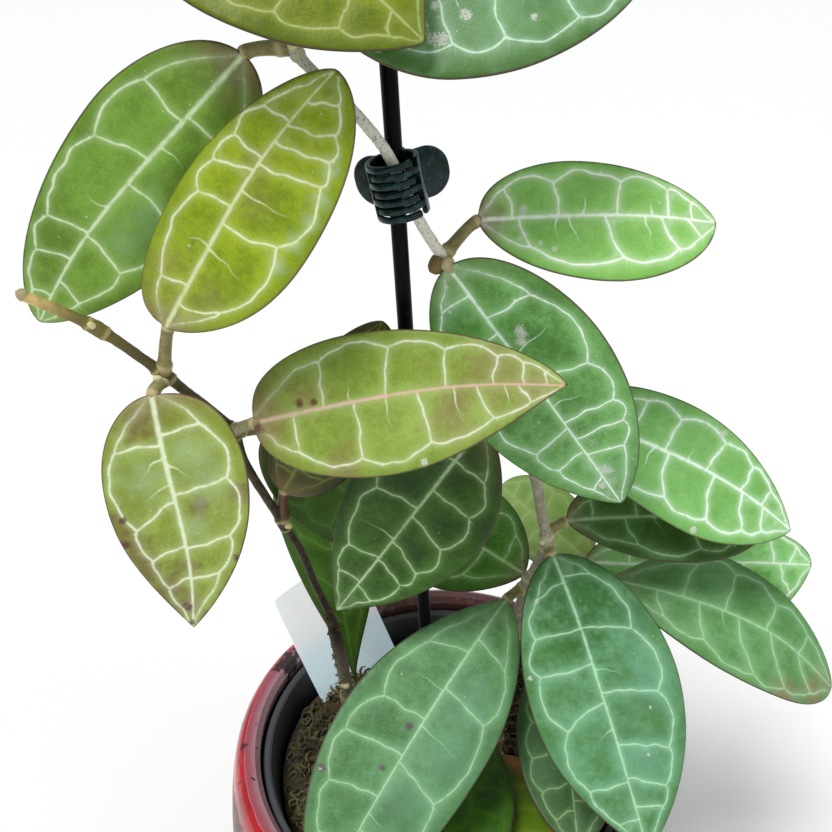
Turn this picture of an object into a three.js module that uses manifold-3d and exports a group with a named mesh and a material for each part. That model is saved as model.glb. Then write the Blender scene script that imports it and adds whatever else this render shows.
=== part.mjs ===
// Hoya elliptica, a climbing houseplant with leathery, pale-veined leaves, grown on a thin stake in a pot.
// Millimetres, +Z up. The origin is the middle of the pot's underside, and the plant faces -Y.
// Every leaf, stem, holder and pot is a closed body of its own.

import * as THREE from "three";
import { mergeVertices } from "three/addons/utils/BufferGeometryUtils.js";
import Module from "manifold-3d";

const wasm = await Module();
wasm.setup();

// Driving dimensions

const SEAT_GAP = 0.3;
const ROUND_SIDES = 8;
const POT_SIDES = 48;

const POT_HEIGHT = 140;
const POT_MOUTH_RADIUS = 71.5;
const POT_RIM_RADIUS = 80;
const POT_BELLY_RADIUS = 85.5;
const POT_BELLY_HEIGHT = 92;
const POT_FOOT_RADIUS = 60;
const POT_WALL = 7;
const POT_FLOOR = 9;

const LINER_RIM_HEIGHT = 134;
const LINER_RIM_RADIUS = 70.6;
const LINER_FOOT_RADIUS = 49;
const LINER_WALL = 1.6;
const LINER_LIP = 1.4;
const LINER_LIP_DEPTH = 5;
const DRAIN_RADIUS = 5;
const DRAIN_CIRCLE = 30;
const DRAIN_COUNT = 5;

const MOSS_EDGE_HEIGHT = 118;
const MOSS_CROWN = 8;
const MOSS_LUMP = 2.2;
const MOSS_RINGS = 7;
const MOSS_SIDES = 36;

const STAKE_RADIUS = 2.2;
const STAKE_FOOT = [1, 0, 24];
const STAKE_TOP = [-19, 0, 404];

const CLIP_CENTRE = [-16, 5.2, 357];
const CLIP_TILT = 12;
const CLIP_TURN = 5;
const CLIP_HEIGHT = 15;
const CLIP_LOOP_INNER = 5.6;
const CLIP_LOOP_OUTER = 7;
const CLIP_LOOP_OFFSET = 7.6;
const CLIP_FINGER_PITCH = 4.4;
const CLIP_FINGER_HEIGHT = 1.8;
const CLIP_FINGER_ARC = [-142, -19];
const CLIP_PIN_RADIUS = 1;
const CLIP_PIN_CLEARANCE = 0.05;
const CLIP_KNUCKLE_RADIUS = 2.6;
const CLIP_KNUCKLE_CLEARANCE = 0.4;
const CLIP_OUTER_KNUCKLE = [4.7, 7.2];
const CLIP_INNER_KNUCKLE = [2.1, 4.3];
const CLIP_PADDLE_LENGTH = 12.5;
const CLIP_PADDLE_HEIGHT = 13.5;
const CLIP_PADDLE_THICKNESS = 1.6;
const CLIP_PADDLE_ANGLE = 24;
const CLIP_SIDES = 16;
const CLIP_CURVE_STEPS = 7;

const LABEL_WIDTH = 41;
const LABEL_HEIGHT = 74;
const LABEL_THICKNESS = 1;
const LABEL_SOIL_POINT = [-35.4, 44.1, 118];
const LABEL_BURIED = 16;
const LABEL_TURN = 40;
const LABEL_LEAN = 22;
const LABEL_ROLL = 8;

const LEAF_THICKNESS = 1.1;
const LEAF_ROWS = 12;
const LEAF_COLUMNS = 4;
const LEAF_END_WIDTH = 0.9;
const MIDRIB_KEEL = 0.8;
const PETIOLE_STEPS = 4;
const PETIOLE_SIDES = 6;
const STEM_STEP = 7;

const UP = new THREE.Vector3(0, 0, 1);

// Colours of the real surfaces

const COLOUR = {
  olive: "#8fa33a",
  oliveDark: "#6f7f35",
  fresh: "#86bd72",
  mid: "#5f9455",
  bluish: "#4f8a68",
  deep: "#2f5a34",
  pale: "#8fa866",
  stemPale: "#a39c84",
  stemDark: "#3a322a",
  clip: "#16211f",
  steel: "#9a9c9c",
  stake: "#101114",
  label: "#e6eef0",
  moss: "#4a4a22",
  liner: "#14181b",
  glaze: "#a3141c",
};

// Solids and booleans

function toSolid(geometry) {
  const bare = geometry.index ? geometry.toNonIndexed() : geometry.clone();
  bare.deleteAttribute("normal");
  bare.deleteAttribute("uv");
  const merged = mergeVertices(bare, 1e-4);
  const vertProperties = new Float32Array(merged.attributes.position.array);
  const triVerts = new Uint32Array(merged.index.array);
  return new wasm.Manifold(new wasm.Mesh({ numProp: 3, vertProperties, triVerts }));
}

function toGeometry(solid) {
  const mesh = solid.getMesh();
  const geometry = new THREE.BufferGeometry();
  geometry.setAttribute("position", new THREE.BufferAttribute(mesh.vertProperties, 3));
  geometry.setIndex(new THREE.BufferAttribute(mesh.triVerts, 1));
  return geometry;
}

function largestBody(solid) {
  return solid.decompose().reduce((best, body) => (body.volume() > best.volume() ? body : best));
}

function material(colour, roughness) {
  return new THREE.MeshStandardMaterial({ color: colour, roughness, metalness: 0, flatShading: true });
}

const part = new THREE.Group();

function addPiece(name, geometry, colour, roughness) {
  const mesh = new THREE.Mesh(geometry, material(colour, roughness));
  mesh.name = name;
  part.add(mesh);
  return mesh;
}

function point(list) {
  return new THREE.Vector3(list[0], list[1], list[2]);
}

// A round stem along a smooth curve: a cylinder bent along it, with a radius that may change on the way

function bentTube(points, radiusAt, steps, sides = ROUND_SIDES) {
  const curve = new THREE.CatmullRomCurve3(points.map(point), false, "centripetal");
  const frames = curve.computeFrenetFrames(steps, false);
  const geometry = new THREE.CylinderGeometry(1, 1, 1, sides, steps);
  const place = geometry.attributes.position;
  for (let i = 0; i < place.count; i += 1) {
    const along = place.getY(i) + 0.5;
    const step = Math.round(along * steps);
    const radius = radiusAt(along);
    const offset = new THREE.Vector3()
      .addScaledVector(frames.normals[step], place.getX(i) * radius)
      .addScaledVector(frames.binormals[step], -place.getZ(i) * radius);
    const centre = curve.getPointAt(along).add(offset);
    place.setXYZ(i, centre.x, centre.y, centre.z);
  }
  return geometry;
}

function solidTube(points, radiusAt, steps, sides) {
  return toSolid(bentTube(points, radiusAt, steps, sides));
}

// Stems

const STEMS = {
  vine_right: {
    path: [
      [19, -1, 100], [20, 0, 130], [23, 3, 165], [25, 4, 193], [27, 4, 212], [33, 6, 230], [31, 7, 240],
      [28, 11, 254], [22, 10, 270], [17, 9, 283], [7, 6, 308], [-3, 2, 334], [-7, -2.6, 342], [-10.7, -4.4, 349],
      [-14.8, -4.6, 358], [-19, -4.8, 367], [-28, -4.4, 378], [-39, -4, 389], [-46, -3, 401], [-51, -1, 411], [-57, 6, 431],
    ],
    nodes: [[19, 0, 134], [27, 4, 213], [33, 6, 231], [17, 9, 283], [-3, 2, 334], [-41, -4, 391], [-47, -3, 402]],
    footRadius: 2.3,
    tipRadius: 1.2,
    colour: COLOUR.stemPale,
  },
  vine_left: {
    path: [
      [-40, 27, 98], [-40, 27, 122], [-44, 20, 180], [-49, 16, 204], [-52, 12, 222], [-56, 7, 238], [-65, 1, 268],
      [-67, -1, 281], [-77, -10, 301], [-81, -12, 307], [-95, -17, 324], [-109, -24, 337],
    ],
    nodes: [[-40, 27, 126], [-56, 7, 238], [-67, -1, 281], [-81, -12, 307], [-95, -16, 324]],
    footRadius: 2.6,
    tipRadius: 1.45,
    barkEnd: 0.36,
    colour: COLOUR.stemDark,
  },
  vine_back: {
    path: [[34, 24, 100], [38, 23, 130], [43, 22, 165], [47, 22, 185], [52, 23, 204]],
    nodes: [[43, 22, 165], [47, 22, 185], [51, 23, 202]],
    footRadius: 2.2,
    tipRadius: 1.7,
    colour: COLOUR.stemPale,
  },
};

const NODE_SWELL = 0.7;
const NODE_REACH = 3.2;
const BARK_FADE = 0.1;

function stemRadius(stem, extra) {
  const curve = new THREE.CatmullRomCurve3(stem.path.map(point), false, "centripetal");
  const nodes = stem.nodes.map(point);
  return (along) => {
    const here = curve.getPointAt(along);
    const swell = nodes.reduce((sum, node) => sum + Math.exp(-((here.distanceTo(node) / NODE_REACH) ** 2)), 0);
    const thinned = stem.barkEnd ? THREE.MathUtils.smoothstep(along, stem.barkEnd - BARK_FADE, stem.barkEnd) : along;
    const plain = THREE.MathUtils.lerp(stem.footRadius, stem.tipRadius, thinned);
    return plain + NODE_SWELL * Math.min(swell, 1) + extra;
  };
}

function stemSolid(stem, extra) {
  const curve = new THREE.CatmullRomCurve3(stem.path.map(point), false, "centripetal");
  const steps = Math.round(curve.getLength() / STEM_STEP);
  return solidTube(stem.path, stemRadius(stem, extra), steps);
}

// Leaves: base and tip of the blade, the way its face looks, half widths and the rest of its form.
// Pairs are the left and the right half, seen on the face with the base below.

const CAMERA_FACE = [0, -0.84, 0.54];

const LEAVES = [
  {
    name: "leaf_top_front", stem: "vine_right", joint: [-57, 6, 431], base: [-68, 3, 438.5], tip: [-9.5, -25, 395.5],
    face: CAMERA_FACE, half: [27, 28], widest: [0.4, 0.41], baseRound: [0.5, 0.5], tipRound: [0.95, 0.85],
    arch: 4, bend: 0, lift: [2, 2], colour: COLOUR.olive,
  },
  {
    name: "leaf_top_back", stem: "vine_right", joint: [-47, -3, 402], base: [-36.5, -6.5, 404.5], tip: [40, -8.5, 407.5],
    face: CAMERA_FACE, half: [23, 23.5], widest: [0.45, 0.44], baseRound: [0.6, 0.75], tipRound: [0.6, 0.75],
    arch: 3, bend: 0.5, lift: [1, 1], colour: COLOUR.bluish,
  },
  {
    name: "leaf_upper_left_back", stem: "vine_right", joint: [-41, -4, 391], base: [-52, -2.5, 389], tip: [-113, -9, 322],
    face: [0.5, -0.8, 0.4], half: [20, 19.5], widest: [0.43, 0.36], baseRound: [0.5, 0.5], tipRound: [0.75, 0.6],
    arch: 2, bend: 1.5, lift: [1, 1], colour: COLOUR.mid,
  },
  {
    name: "leaf_upper_left_front", stem: "vine_left", joint: [-81, -12, 308], base: [-77, -15.5, 323.5], tip: [-29, -14.5, 388],
    face: CAMERA_FACE, half: [15.5, 21], widest: [0.43, 0.47], baseRound: [0.3, 0.75], tipRound: [0.7, 0.5],
    arch: 3, bend: -0.5, lift: [1, 1], colour: COLOUR.olive,
  },
  {
    name: "leaf_left_hanging", stem: "vine_left", joint: [-81, -12, 306], base: [-83.5, -17.5, 304], tip: [-76, -41, 239],
    face: CAMERA_FACE, half: [23, 17], widest: [0.35, 0.35], baseRound: [0.35, 0.5], tipRound: [0.95, 1.1],
    arch: 4, bend: -0.5, lift: [1.5, 1.5], colour: COLOUR.oliveDark,
  },
  {
    name: "leaf_middle_front", stem: "vine_left", joint: [-67, -1, 281], base: [-58, -12, 291], tip: [28, -28, 313],
    face: CAMERA_FACE, half: [19.5, 20], widest: [0.39, 0.42], baseRound: [0.35, 0.5], tipRound: [0.7, 1.2],
    arch: 3, bend: -1.5, lift: [1, 1], colour: COLOUR.olive,
  },
  {
    name: "leaf_upper_right", stem: "vine_right", joint: [-4, 1.5, 336.5], base: [5, 3, 346], tip: [65.5, -7, 349],
    face: CAMERA_FACE, half: [14.5, 16.5], widest: [0.38, 0.57], baseRound: [0.4, 0.7], tipRound: [0.7, 0.5],
    arch: 2, bend: -0.5, lift: [1, 1], colour: COLOUR.fresh,
  },
  {
    name: "leaf_middle_right", stem: "vine_right", joint: [-3, 2, 334], base: [-3, -3.5, 335.5], tip: [48.5, -21, 269],
    face: [-0.45, -0.8, 0.45], half: [23, 22], widest: [0.44, 0.47], baseRound: [0.5, 0.55], tipRound: [0.75, 0.85],
    arch: 3, bend: -1.5, lift: [1, 1], colour: COLOUR.bluish,
  },
  {
    name: "leaf_right_pale", stem: "vine_right", joint: [17, 9, 283], base: [37, 12.5, 278], tip: [107, -8, 247.5],
    face: CAMERA_FACE, half: [17.5, 19], widest: [0.41, 0.58], baseRound: [0.3, 0.55], tipRound: [0.85, 0.75],
    arch: 2, bend: -3, lift: [1, 1], colour: COLOUR.fresh,
  },
  {
    name: "leaf_right_dark", stem: "vine_right", joint: [32, 6.5, 234], base: [39.5, 9.5, 237], tip: [106, 6.5, 241.5],
    face: [0, -0.7, 0.7], half: [16, 16], widest: [0.5, 0.59], baseRound: [0.45, 0.8], tipRound: [0.55, 0.5],
    arch: 2, bend: -1, lift: [1, 1], colour: COLOUR.deep,
  },
  {
    name: "leaf_right_tip", stem: "vine_back", joint: [52, 23, 203], base: [53.5, 32.5, 198], tip: [136, 24, 204],
    face: CAMERA_FACE, half: [18, 26.5], widest: [0.5, 0.59], baseRound: [0.6, 0.6], tipRound: [0.5, 0.8],
    arch: 2, bend: 1.5, lift: [1, 1], colour: COLOUR.fresh,
  },
  {
    name: "leaf_right_arching", stem: "vine_back", joint: [51, 23, 202], base: [58.5, 13.5, 206.5], tip: [132.5, -16.5, 183.5],
    face: [0.1, -0.5, 0.85], half: [22, 17], widest: [0.42, 0.57], baseRound: [0.9, 0.85], tipRound: [0.65, 0.45],
    arch: 12, bend: -1, lift: [-1, -1], colour: COLOUR.mid,
  },
  {
    name: "leaf_front_right", stem: "vine_right", joint: [33, 6, 230], base: [34.5, 2, 228.5], tip: [62.5, -61.5, 159.5],
    face: [0.1, -0.7, 0.75], half: [26, 25], widest: [0.46, 0.48], baseRound: [0.55, 0.6], tipRound: [0.8, 1],
    arch: 3, bend: -1.5, lift: [1, 1], colour: COLOUR.bluish,
  },
  {
    name: "leaf_front_left", stem: "vine_right", joint: [27, 4, 213], base: [20, 0, 210], tip: [-40, -76.5, 160],
    face: [0, -0.6, 0.8], half: [24, 25], widest: [0.46, 0.54], baseRound: [0.7, 0.9], tipRound: [0.45, 0.6],
    arch: 3, bend: 2, lift: [-1, 1], colour: COLOUR.bluish,
  },
  {
    name: "leaf_lower_middle", stem: "vine_right", joint: [17, 9, 284], base: [9, -6, 287.5], tip: [-37.5, -16, 220],
    face: CAMERA_FACE, half: [22.5, 22.5], widest: [0.39, 0.34], baseRound: [0.75, 0.5], tipRound: [1.05, 1],
    arch: 3, bend: 0, lift: [1, 1], colour: COLOUR.deep,
  },
  {
    name: "leaf_lower_behind", stem: "vine_right", joint: [27.5, 4, 215], base: [26.5, 7, 215], tip: [-12, 47.5, 213],
    face: [-0.2, -0.5, 0.85], half: [23, 21], widest: [0.59, 0.56], baseRound: [0.7, 0.6], tipRound: [0.6, 0.6],
    arch: 3, bend: -0.5, lift: [1, 1], colour: COLOUR.deep,
  },
  {
    name: "leaf_back_pale", stem: "vine_back", joint: [47, 22, 185], base: [59, 47, 185], tip: [25, 80, 198],
    face: CAMERA_FACE, half: [16, 16], widest: [0.5, 0.5], baseRound: [0.5, 0.5], tipRound: [0.5, 0.5],
    arch: 2, bend: 0, lift: [1, 1], colour: COLOUR.pale,
  },
  {
    name: "leaf_back_rising", stem: "vine_left", joint: [-40, 27, 127], base: [-36.5, 28.5, 131], tip: [-52, 60.5, 233],
    face: CAMERA_FACE, half: [19, 19], widest: [0.81, 0.73], baseRound: [1.7, 1.75], tipRound: [0.65, 0.6],
    arch: 3, bend: 1, lift: [1, 1], colour: COLOUR.mid,
  },
  {
    name: "leaf_middle_behind", stem: "vine_left", joint: [-56, 7, 238], base: [-54.5, 5, 253], tip: [-21, 12.5, 311],
    face: CAMERA_FACE, half: [13, 17.5], widest: [0.48, 0.47], baseRound: [0.4, 0.55], tipRound: [0.65, 0.55],
    arch: 2, bend: 0, lift: [1, 1], colour: COLOUR.oliveDark,
  },
  {
    name: "leaf_low_green", stem: "vine_right", joint: [20, 0, 137], base: [7, -3, 146], tip: [9, -62, 146],
    face: [0, -0.5, 0.85], half: [15, 16], widest: [0.5, 0.5], baseRound: [0.6, 0.6], tipRound: [0.6, 0.6],
    arch: 2, bend: 0, lift: [1, 1], colour: COLOUR.deep,
  },
  {
    name: "leaf_low_red", stem: "vine_right", joint: [19, 0, 131], base: [21, -7, 134], tip: [26, -62, 139],
    face: [0, -0.5, 0.85], half: [16, 14], widest: [0.5, 0.5], baseRound: [0.6, 0.6], tipRound: [0.6, 0.6],
    arch: 2, bend: 0, lift: [1, 1], colour: COLOUR.oliveDark,
  },
  {
    name: "leaf_low_grey", stem: "vine_back", joint: [43, 22, 165], base: [42, 11, 169], tip: [43, -52, 147],
    face: [0, -0.6, 0.8], half: [18, 18], widest: [0.5, 0.5], baseRound: [0.6, 0.6], tipRound: [0.6, 0.6],
    arch: 2, bend: 0, lift: [1, 1], colour: COLOUR.mid,
  },
  {
    name: "leaf_back_left", stem: "vine_left", joint: [-66, 0, 280], base: [-60, 14, 270], tip: [-15, 26, 217],
    face: CAMERA_FACE, half: [18, 18], widest: [0.5, 0.5], baseRound: [0.5, 0.5], tipRound: [0.6, 0.6],
    arch: 2, bend: 0, lift: [1, 1], colour: COLOUR.mid,
  },
];

const PETIOLE_RADIUS = 1.9;
const PETIOLE_END_RADIUS = 1.3;
const PETIOLE_RUN = 0.09;

function blade(leaf) {
  const base = point(leaf.base);
  const chord = point(leaf.tip).sub(base);
  const along = chord.clone().normalize();
  const face = point(leaf.face);
  face.addScaledVector(along, -face.dot(along)).normalize();
  const right = new THREE.Vector3().crossVectors(along, face);
  return { base, chord, face, right };
}

function outline(t, side, leaf) {
  const widest = leaf.widest[side];
  const beforeWidest = t < widest;
  const reach = beforeWidest ? (widest - t) / widest : (t - widest) / (1 - widest);
  const power = beforeWidest ? leaf.baseRound[side] : leaf.tipRound[side];
  return Math.max(1 - reach * reach, 0) ** power;
}

// A point of the blade's middle surface, t from base to tip and u from -1 at the left margin to 1 at the right

function bladePoint(leaf, frame, t, u) {
  const side = u < 0 ? 0 : 1;
  const narrow = outline(t, side, leaf);
  const hump = 4 * t * (1 - t);
  const across = u * Math.max(leaf.half[side] * narrow, LEAF_END_WIDTH);
  const rise = leaf.arch * hump + leaf.lift[side] * u * u * narrow;
  return frame.base.clone()
    .addScaledVector(frame.chord, t)
    .addScaledVector(frame.right, across + leaf.bend * hump)
    .addScaledVector(frame.face, rise);
}

function bladeNormal(leaf, frame, t, u) {
  const step = 0.01;
  const low = Math.max(t - step, 0);
  const high = Math.min(t + step, 1);
  const inner = Math.max(u - step, -1);
  const outer = Math.min(u + step, 1);
  const lengthwise = bladePoint(leaf, frame, high, u).sub(bladePoint(leaf, frame, low, u));
  const crosswise = bladePoint(leaf, frame, t, outer).sub(bladePoint(leaf, frame, t, inner));
  return crosswise.cross(lengthwise).normalize();
}

function bladeSolid(leaf) {
  const frame = blade(leaf);
  const geometry = new THREE.BoxGeometry(2, 1, 1, LEAF_COLUMNS, LEAF_ROWS, 1);
  const place = geometry.attributes.position;
  for (let i = 0; i < place.count; i += 1) {
    const u = place.getX(i);
    const t = 0.5 - 0.5 * Math.cos(Math.PI * (place.getY(i) + 0.5));
    const onFace = place.getZ(i) > 0;
    const edgeThin = 1 - 0.35 * u ** 4;
    const keel = Math.abs(u) < 0.1 ? MIDRIB_KEEL * (1 - t) : 0;
    const shift = onFace ? LEAF_THICKNESS * edgeThin / 2 : -LEAF_THICKNESS * edgeThin / 2 - keel;
    const spot = bladePoint(leaf, frame, t, u).addScaledVector(bladeNormal(leaf, frame, t, u), shift);
    place.setXYZ(i, spot.x, spot.y, spot.z);
  }
  matchDiagonals(geometry);
  return toSolid(geometry);
}

// Both faces of a blade are divided along the same diagonals, so that it's equally thick everywhere

function matchDiagonals(geometry) {
  const back = geometry.groups[5];
  const index = geometry.index;
  for (let i = back.start; i < back.start + back.count; i += 6) {
    const [a, b, c, d] = [index.getX(i), index.getX(i + 1), index.getX(i + 4), index.getX(i + 5)];
    [a, b, c, a, c, d].forEach((corner, k) => index.setX(i + k, corner));
  }
}

function petioleSolid(leaf) {
  const frame = blade(leaf);
  const joint = point(leaf.joint);
  const end = bladePoint(leaf, frame, PETIOLE_RUN, 0).addScaledVector(frame.face, -LEAF_THICKNESS);
  const base = bladePoint(leaf, frame, 0, 0).addScaledVector(frame.face, -LEAF_THICKNESS / 2);
  const points = [joint, base, end].map((spot) => spot.toArray());
  const radiusAt = (along) => THREE.MathUtils.lerp(PETIOLE_RADIUS, PETIOLE_END_RADIUS, along);
  return solidTube(points, radiusAt, PETIOLE_STEPS, PETIOLE_SIDES);
}

function buildLeaf(leaf) {
  const whole = bladeSolid(leaf).add(petioleSolid(leaf));
  return largestBody(whole.subtract(stemSolid(STEMS[leaf.stem], SEAT_GAP)));
}

for (const leaf of LEAVES) {
  addPiece(leaf.name, toGeometry(buildLeaf(leaf)), leaf.colour, 0.45);
}

for (const [name, stem] of Object.entries(STEMS)) {
  addPiece(name, toGeometry(stemSolid(stem, 0)), stem.colour, 0.8);
}

// Spring clip round the stake and the right vine. In its own frame the pin is the Z axis, and the loop lies on -Y.

function arcShape(from, to) {
  const shape = new THREE.Shape();
  const [start, end] = [THREE.MathUtils.degToRad(from), THREE.MathUtils.degToRad(to)];
  shape.absarc(0, -CLIP_LOOP_OFFSET, CLIP_LOOP_OUTER, start, end, false);
  shape.absarc(0, -CLIP_LOOP_OFFSET, CLIP_LOOP_INNER, end, start, true);
  return shape;
}

function slab(shape, low, high) {
  const geometry = new THREE.ExtrudeGeometry(shape, { depth: high - low, bevelEnabled: false, curveSegments: CLIP_CURVE_STEPS });
  geometry.translate(0, 0, low);
  return toSolid(geometry);
}

function disc(radius, low, high) {
  const geometry = new THREE.CylinderGeometry(radius, radius, high - low, CLIP_SIDES);
  geometry.rotateX(Math.PI / 2);
  geometry.translate(0, 0, (low + high) / 2);
  return toSolid(geometry);
}

function bothEnds(build, [low, high]) {
  return build(low, high).add(build(-high, -low));
}

function paddle() {
  const half = CLIP_PADDLE_HEIGHT / 2;
  const shape = new THREE.Shape();
  shape.moveTo(1.2, -half + 2);
  shape.lineTo(5, -half);
  shape.absarc(CLIP_PADDLE_LENGTH - half, 0, half, -Math.PI / 2, Math.PI / 2, false);
  shape.lineTo(5, half);
  shape.lineTo(1.2, half - 2);
  const flat = new THREE.ExtrudeGeometry(shape, {
    depth: CLIP_PADDLE_THICKNESS, bevelEnabled: false, curveSegments: CLIP_CURVE_STEPS,
  });
  flat.rotateX(Math.PI / 2);
  flat.translate(0, -2, 0);
  flat.rotateZ(THREE.MathUtils.degToRad(CLIP_PADDLE_ANGLE));
  return toSolid(flat);
}

// One jaw: a back plate, fingers, its own knuckles on the pin and a paddle. The right jaw's is drawn, the left mirrored.

function clipJaw(fingerHeights, ownKnuckle, otherKnuckle) {
  let jaw = slab(arcShape(-20, 75), -CLIP_HEIGHT / 2, CLIP_HEIGHT / 2).add(paddle());
  const clear = CLIP_KNUCKLE_RADIUS + CLIP_KNUCKLE_CLEARANCE;
  const middle = CLIP_INNER_KNUCKLE[0];
  const otherRoom = [otherKnuckle[0] - SEAT_GAP, otherKnuckle[1] + CLIP_KNUCKLE_CLEARANCE];
  jaw = jaw.subtract(disc(clear, -middle, middle));
  jaw = jaw.subtract(bothEnds((low, high) => disc(clear, low, high), otherRoom));
  for (const height of fingerHeights) {
    const low = height - CLIP_FINGER_HEIGHT / 2;
    jaw = jaw.add(slab(arcShape(...CLIP_FINGER_ARC), low, low + CLIP_FINGER_HEIGHT));
  }
  jaw = jaw.add(bothEnds((low, high) => disc(CLIP_KNUCKLE_RADIUS, low, high), ownKnuckle));
  return jaw.subtract(disc(CLIP_PIN_RADIUS + CLIP_PIN_CLEARANCE, -CLIP_HEIGHT, CLIP_HEIGHT));
}

function placeSolid(solid) {
  const middled = solid.translate([0, CLIP_LOOP_OFFSET, 0]).rotate([0, 0, -CLIP_TURN]);
  const tilted = middled.translate([0, -CLIP_LOOP_OFFSET, 0]).rotate([0, -CLIP_TILT, 0]);
  return toGeometry(tilted.translate(CLIP_CENTRE));
}

const oddFingers = [-1.5, -0.5, 0.5, 1.5].map((step) => step * CLIP_FINGER_PITCH);
const evenFingers = [-1, 0, 1].map((step) => step * CLIP_FINGER_PITCH);
const rightJaw = clipJaw(evenFingers, CLIP_INNER_KNUCKLE, CLIP_OUTER_KNUCKLE);
const leftJaw = clipJaw(oddFingers, CLIP_OUTER_KNUCKLE, CLIP_INNER_KNUCKLE).mirror([1, 0, 0]);
addPiece("clip_jaw_right", placeSolid(rightJaw), COLOUR.clip, 0.5);
addPiece("clip_jaw_left", placeSolid(leftJaw), COLOUR.clip, 0.5);

function clipPinSolid() {
  const end = CLIP_HEIGHT / 2;
  const heads = disc(CLIP_PIN_RADIUS + 0.6, end, end + 1).add(disc(CLIP_PIN_RADIUS + 0.6, -end - 1, -end));
  return disc(CLIP_PIN_RADIUS, -end - 0.5, end + 0.5).add(heads);
}

addPiece("clip_pin", placeSolid(clipPinSolid()), COLOUR.steel, 0.35);

const SPRING_RADIUS = 1.75;
const SPRING_WIRE = 0.3;
const SPRING_TURNS = 3;
const SPRING_PITCH = 0.9;

function clipSpringSolid() {
  const points = [];
  const perTurn = 8;
  for (let i = 0; i <= SPRING_TURNS * perTurn; i += 1) {
    const angle = 2 * Math.PI * i / perTurn;
    const height = SPRING_PITCH * (i / perTurn - SPRING_TURNS / 2);
    points.push([SPRING_RADIUS * Math.cos(angle), SPRING_RADIUS * Math.sin(angle), height]);
  }
  return solidTube(points, () => SPRING_WIRE, SPRING_TURNS * 12, 5);
}

addPiece("clip_spring", placeSolid(clipSpringSolid()), COLOUR.steel, 0.35);

// Stake, pots, moss and label

function stakeSolid(extra) {
  return solidTube([STAKE_FOOT, STAKE_TOP], () => STAKE_RADIUS + extra, 1, 16);
}

addPiece("stake", toGeometry(stakeSolid(0)), COLOUR.stake, 0.5);

function turned(profile, sides) {
  const outline = profile.map(([radius, height]) => new THREE.Vector2(radius, height));
  const geometry = new THREE.LatheGeometry(outline, sides);
  geometry.rotateX(Math.PI / 2);
  return toSolid(geometry);
}

function potSolid() {
  const profile = [
    [0, 0], [POT_FOOT_RADIUS - 2, 0], [POT_FOOT_RADIUS + 1, 2], [71, 24], [80, 52],
    [POT_BELLY_RADIUS, POT_BELLY_HEIGHT], [84, 118], [POT_RIM_RADIUS + 1, 135], [POT_RIM_RADIUS - 1, 138.5],
    [POT_RIM_RADIUS - 4, POT_HEIGHT], [POT_MOUTH_RADIUS + 2, POT_HEIGHT - 0.3], [POT_MOUTH_RADIUS, POT_HEIGHT - 3],
    [76, 118], [78.5, 92], [72.5, 54], [63, 28], [54, POT_FLOOR], [0, POT_FLOOR],
  ];
  return turned(profile, POT_SIDES);
}

addPiece("pot", toGeometry(potSolid()), COLOUR.glaze, 0.25);

const LINER_FOOT = POT_FLOOR + SEAT_GAP;

function linerSolid() {
  const profile = [
    [0, LINER_FOOT], [LINER_FOOT_RADIUS, LINER_FOOT], [LINER_RIM_RADIUS - LINER_LIP, LINER_RIM_HEIGHT - LINER_LIP_DEPTH],
    [LINER_RIM_RADIUS, LINER_RIM_HEIGHT - LINER_LIP_DEPTH], [LINER_RIM_RADIUS, LINER_RIM_HEIGHT],
    [LINER_RIM_RADIUS - LINER_LIP - LINER_WALL, LINER_RIM_HEIGHT],
    [LINER_FOOT_RADIUS - LINER_WALL, LINER_FOOT + LINER_WALL], [0, LINER_FOOT + LINER_WALL],
  ];
  let liner = turned(profile, POT_SIDES);
  for (let i = 0; i < DRAIN_COUNT; i += 1) {
    const angle = 2 * Math.PI * i / DRAIN_COUNT;
    const hole = new THREE.CylinderGeometry(DRAIN_RADIUS, DRAIN_RADIUS, 10, 16);
    hole.rotateX(Math.PI / 2);
    hole.translate(DRAIN_CIRCLE * Math.cos(angle), DRAIN_CIRCLE * Math.sin(angle), LINER_FOOT);
    liner = liner.subtract(toSolid(hole));
  }
  return liner;
}

addPiece("inner_pot", toGeometry(linerSolid()), COLOUR.liner, 0.4);

function labelSolid(extra) {
  const size = 2 * extra;
  const plate = new THREE.BoxGeometry(LABEL_WIDTH + size, LABEL_THICKNESS + size, LABEL_HEIGHT + size);
  plate.translate(0, 0, LABEL_HEIGHT / 2 - LABEL_BURIED);
  plate.rotateY(-THREE.MathUtils.degToRad(LABEL_ROLL));
  plate.rotateX(-THREE.MathUtils.degToRad(LABEL_LEAN));
  plate.rotateZ(THREE.MathUtils.degToRad(LABEL_TURN));
  plate.translate(...LABEL_SOIL_POINT);
  return toSolid(plate);
}

addPiece("label", toGeometry(labelSolid(0)), COLOUR.label, 0.4);

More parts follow.
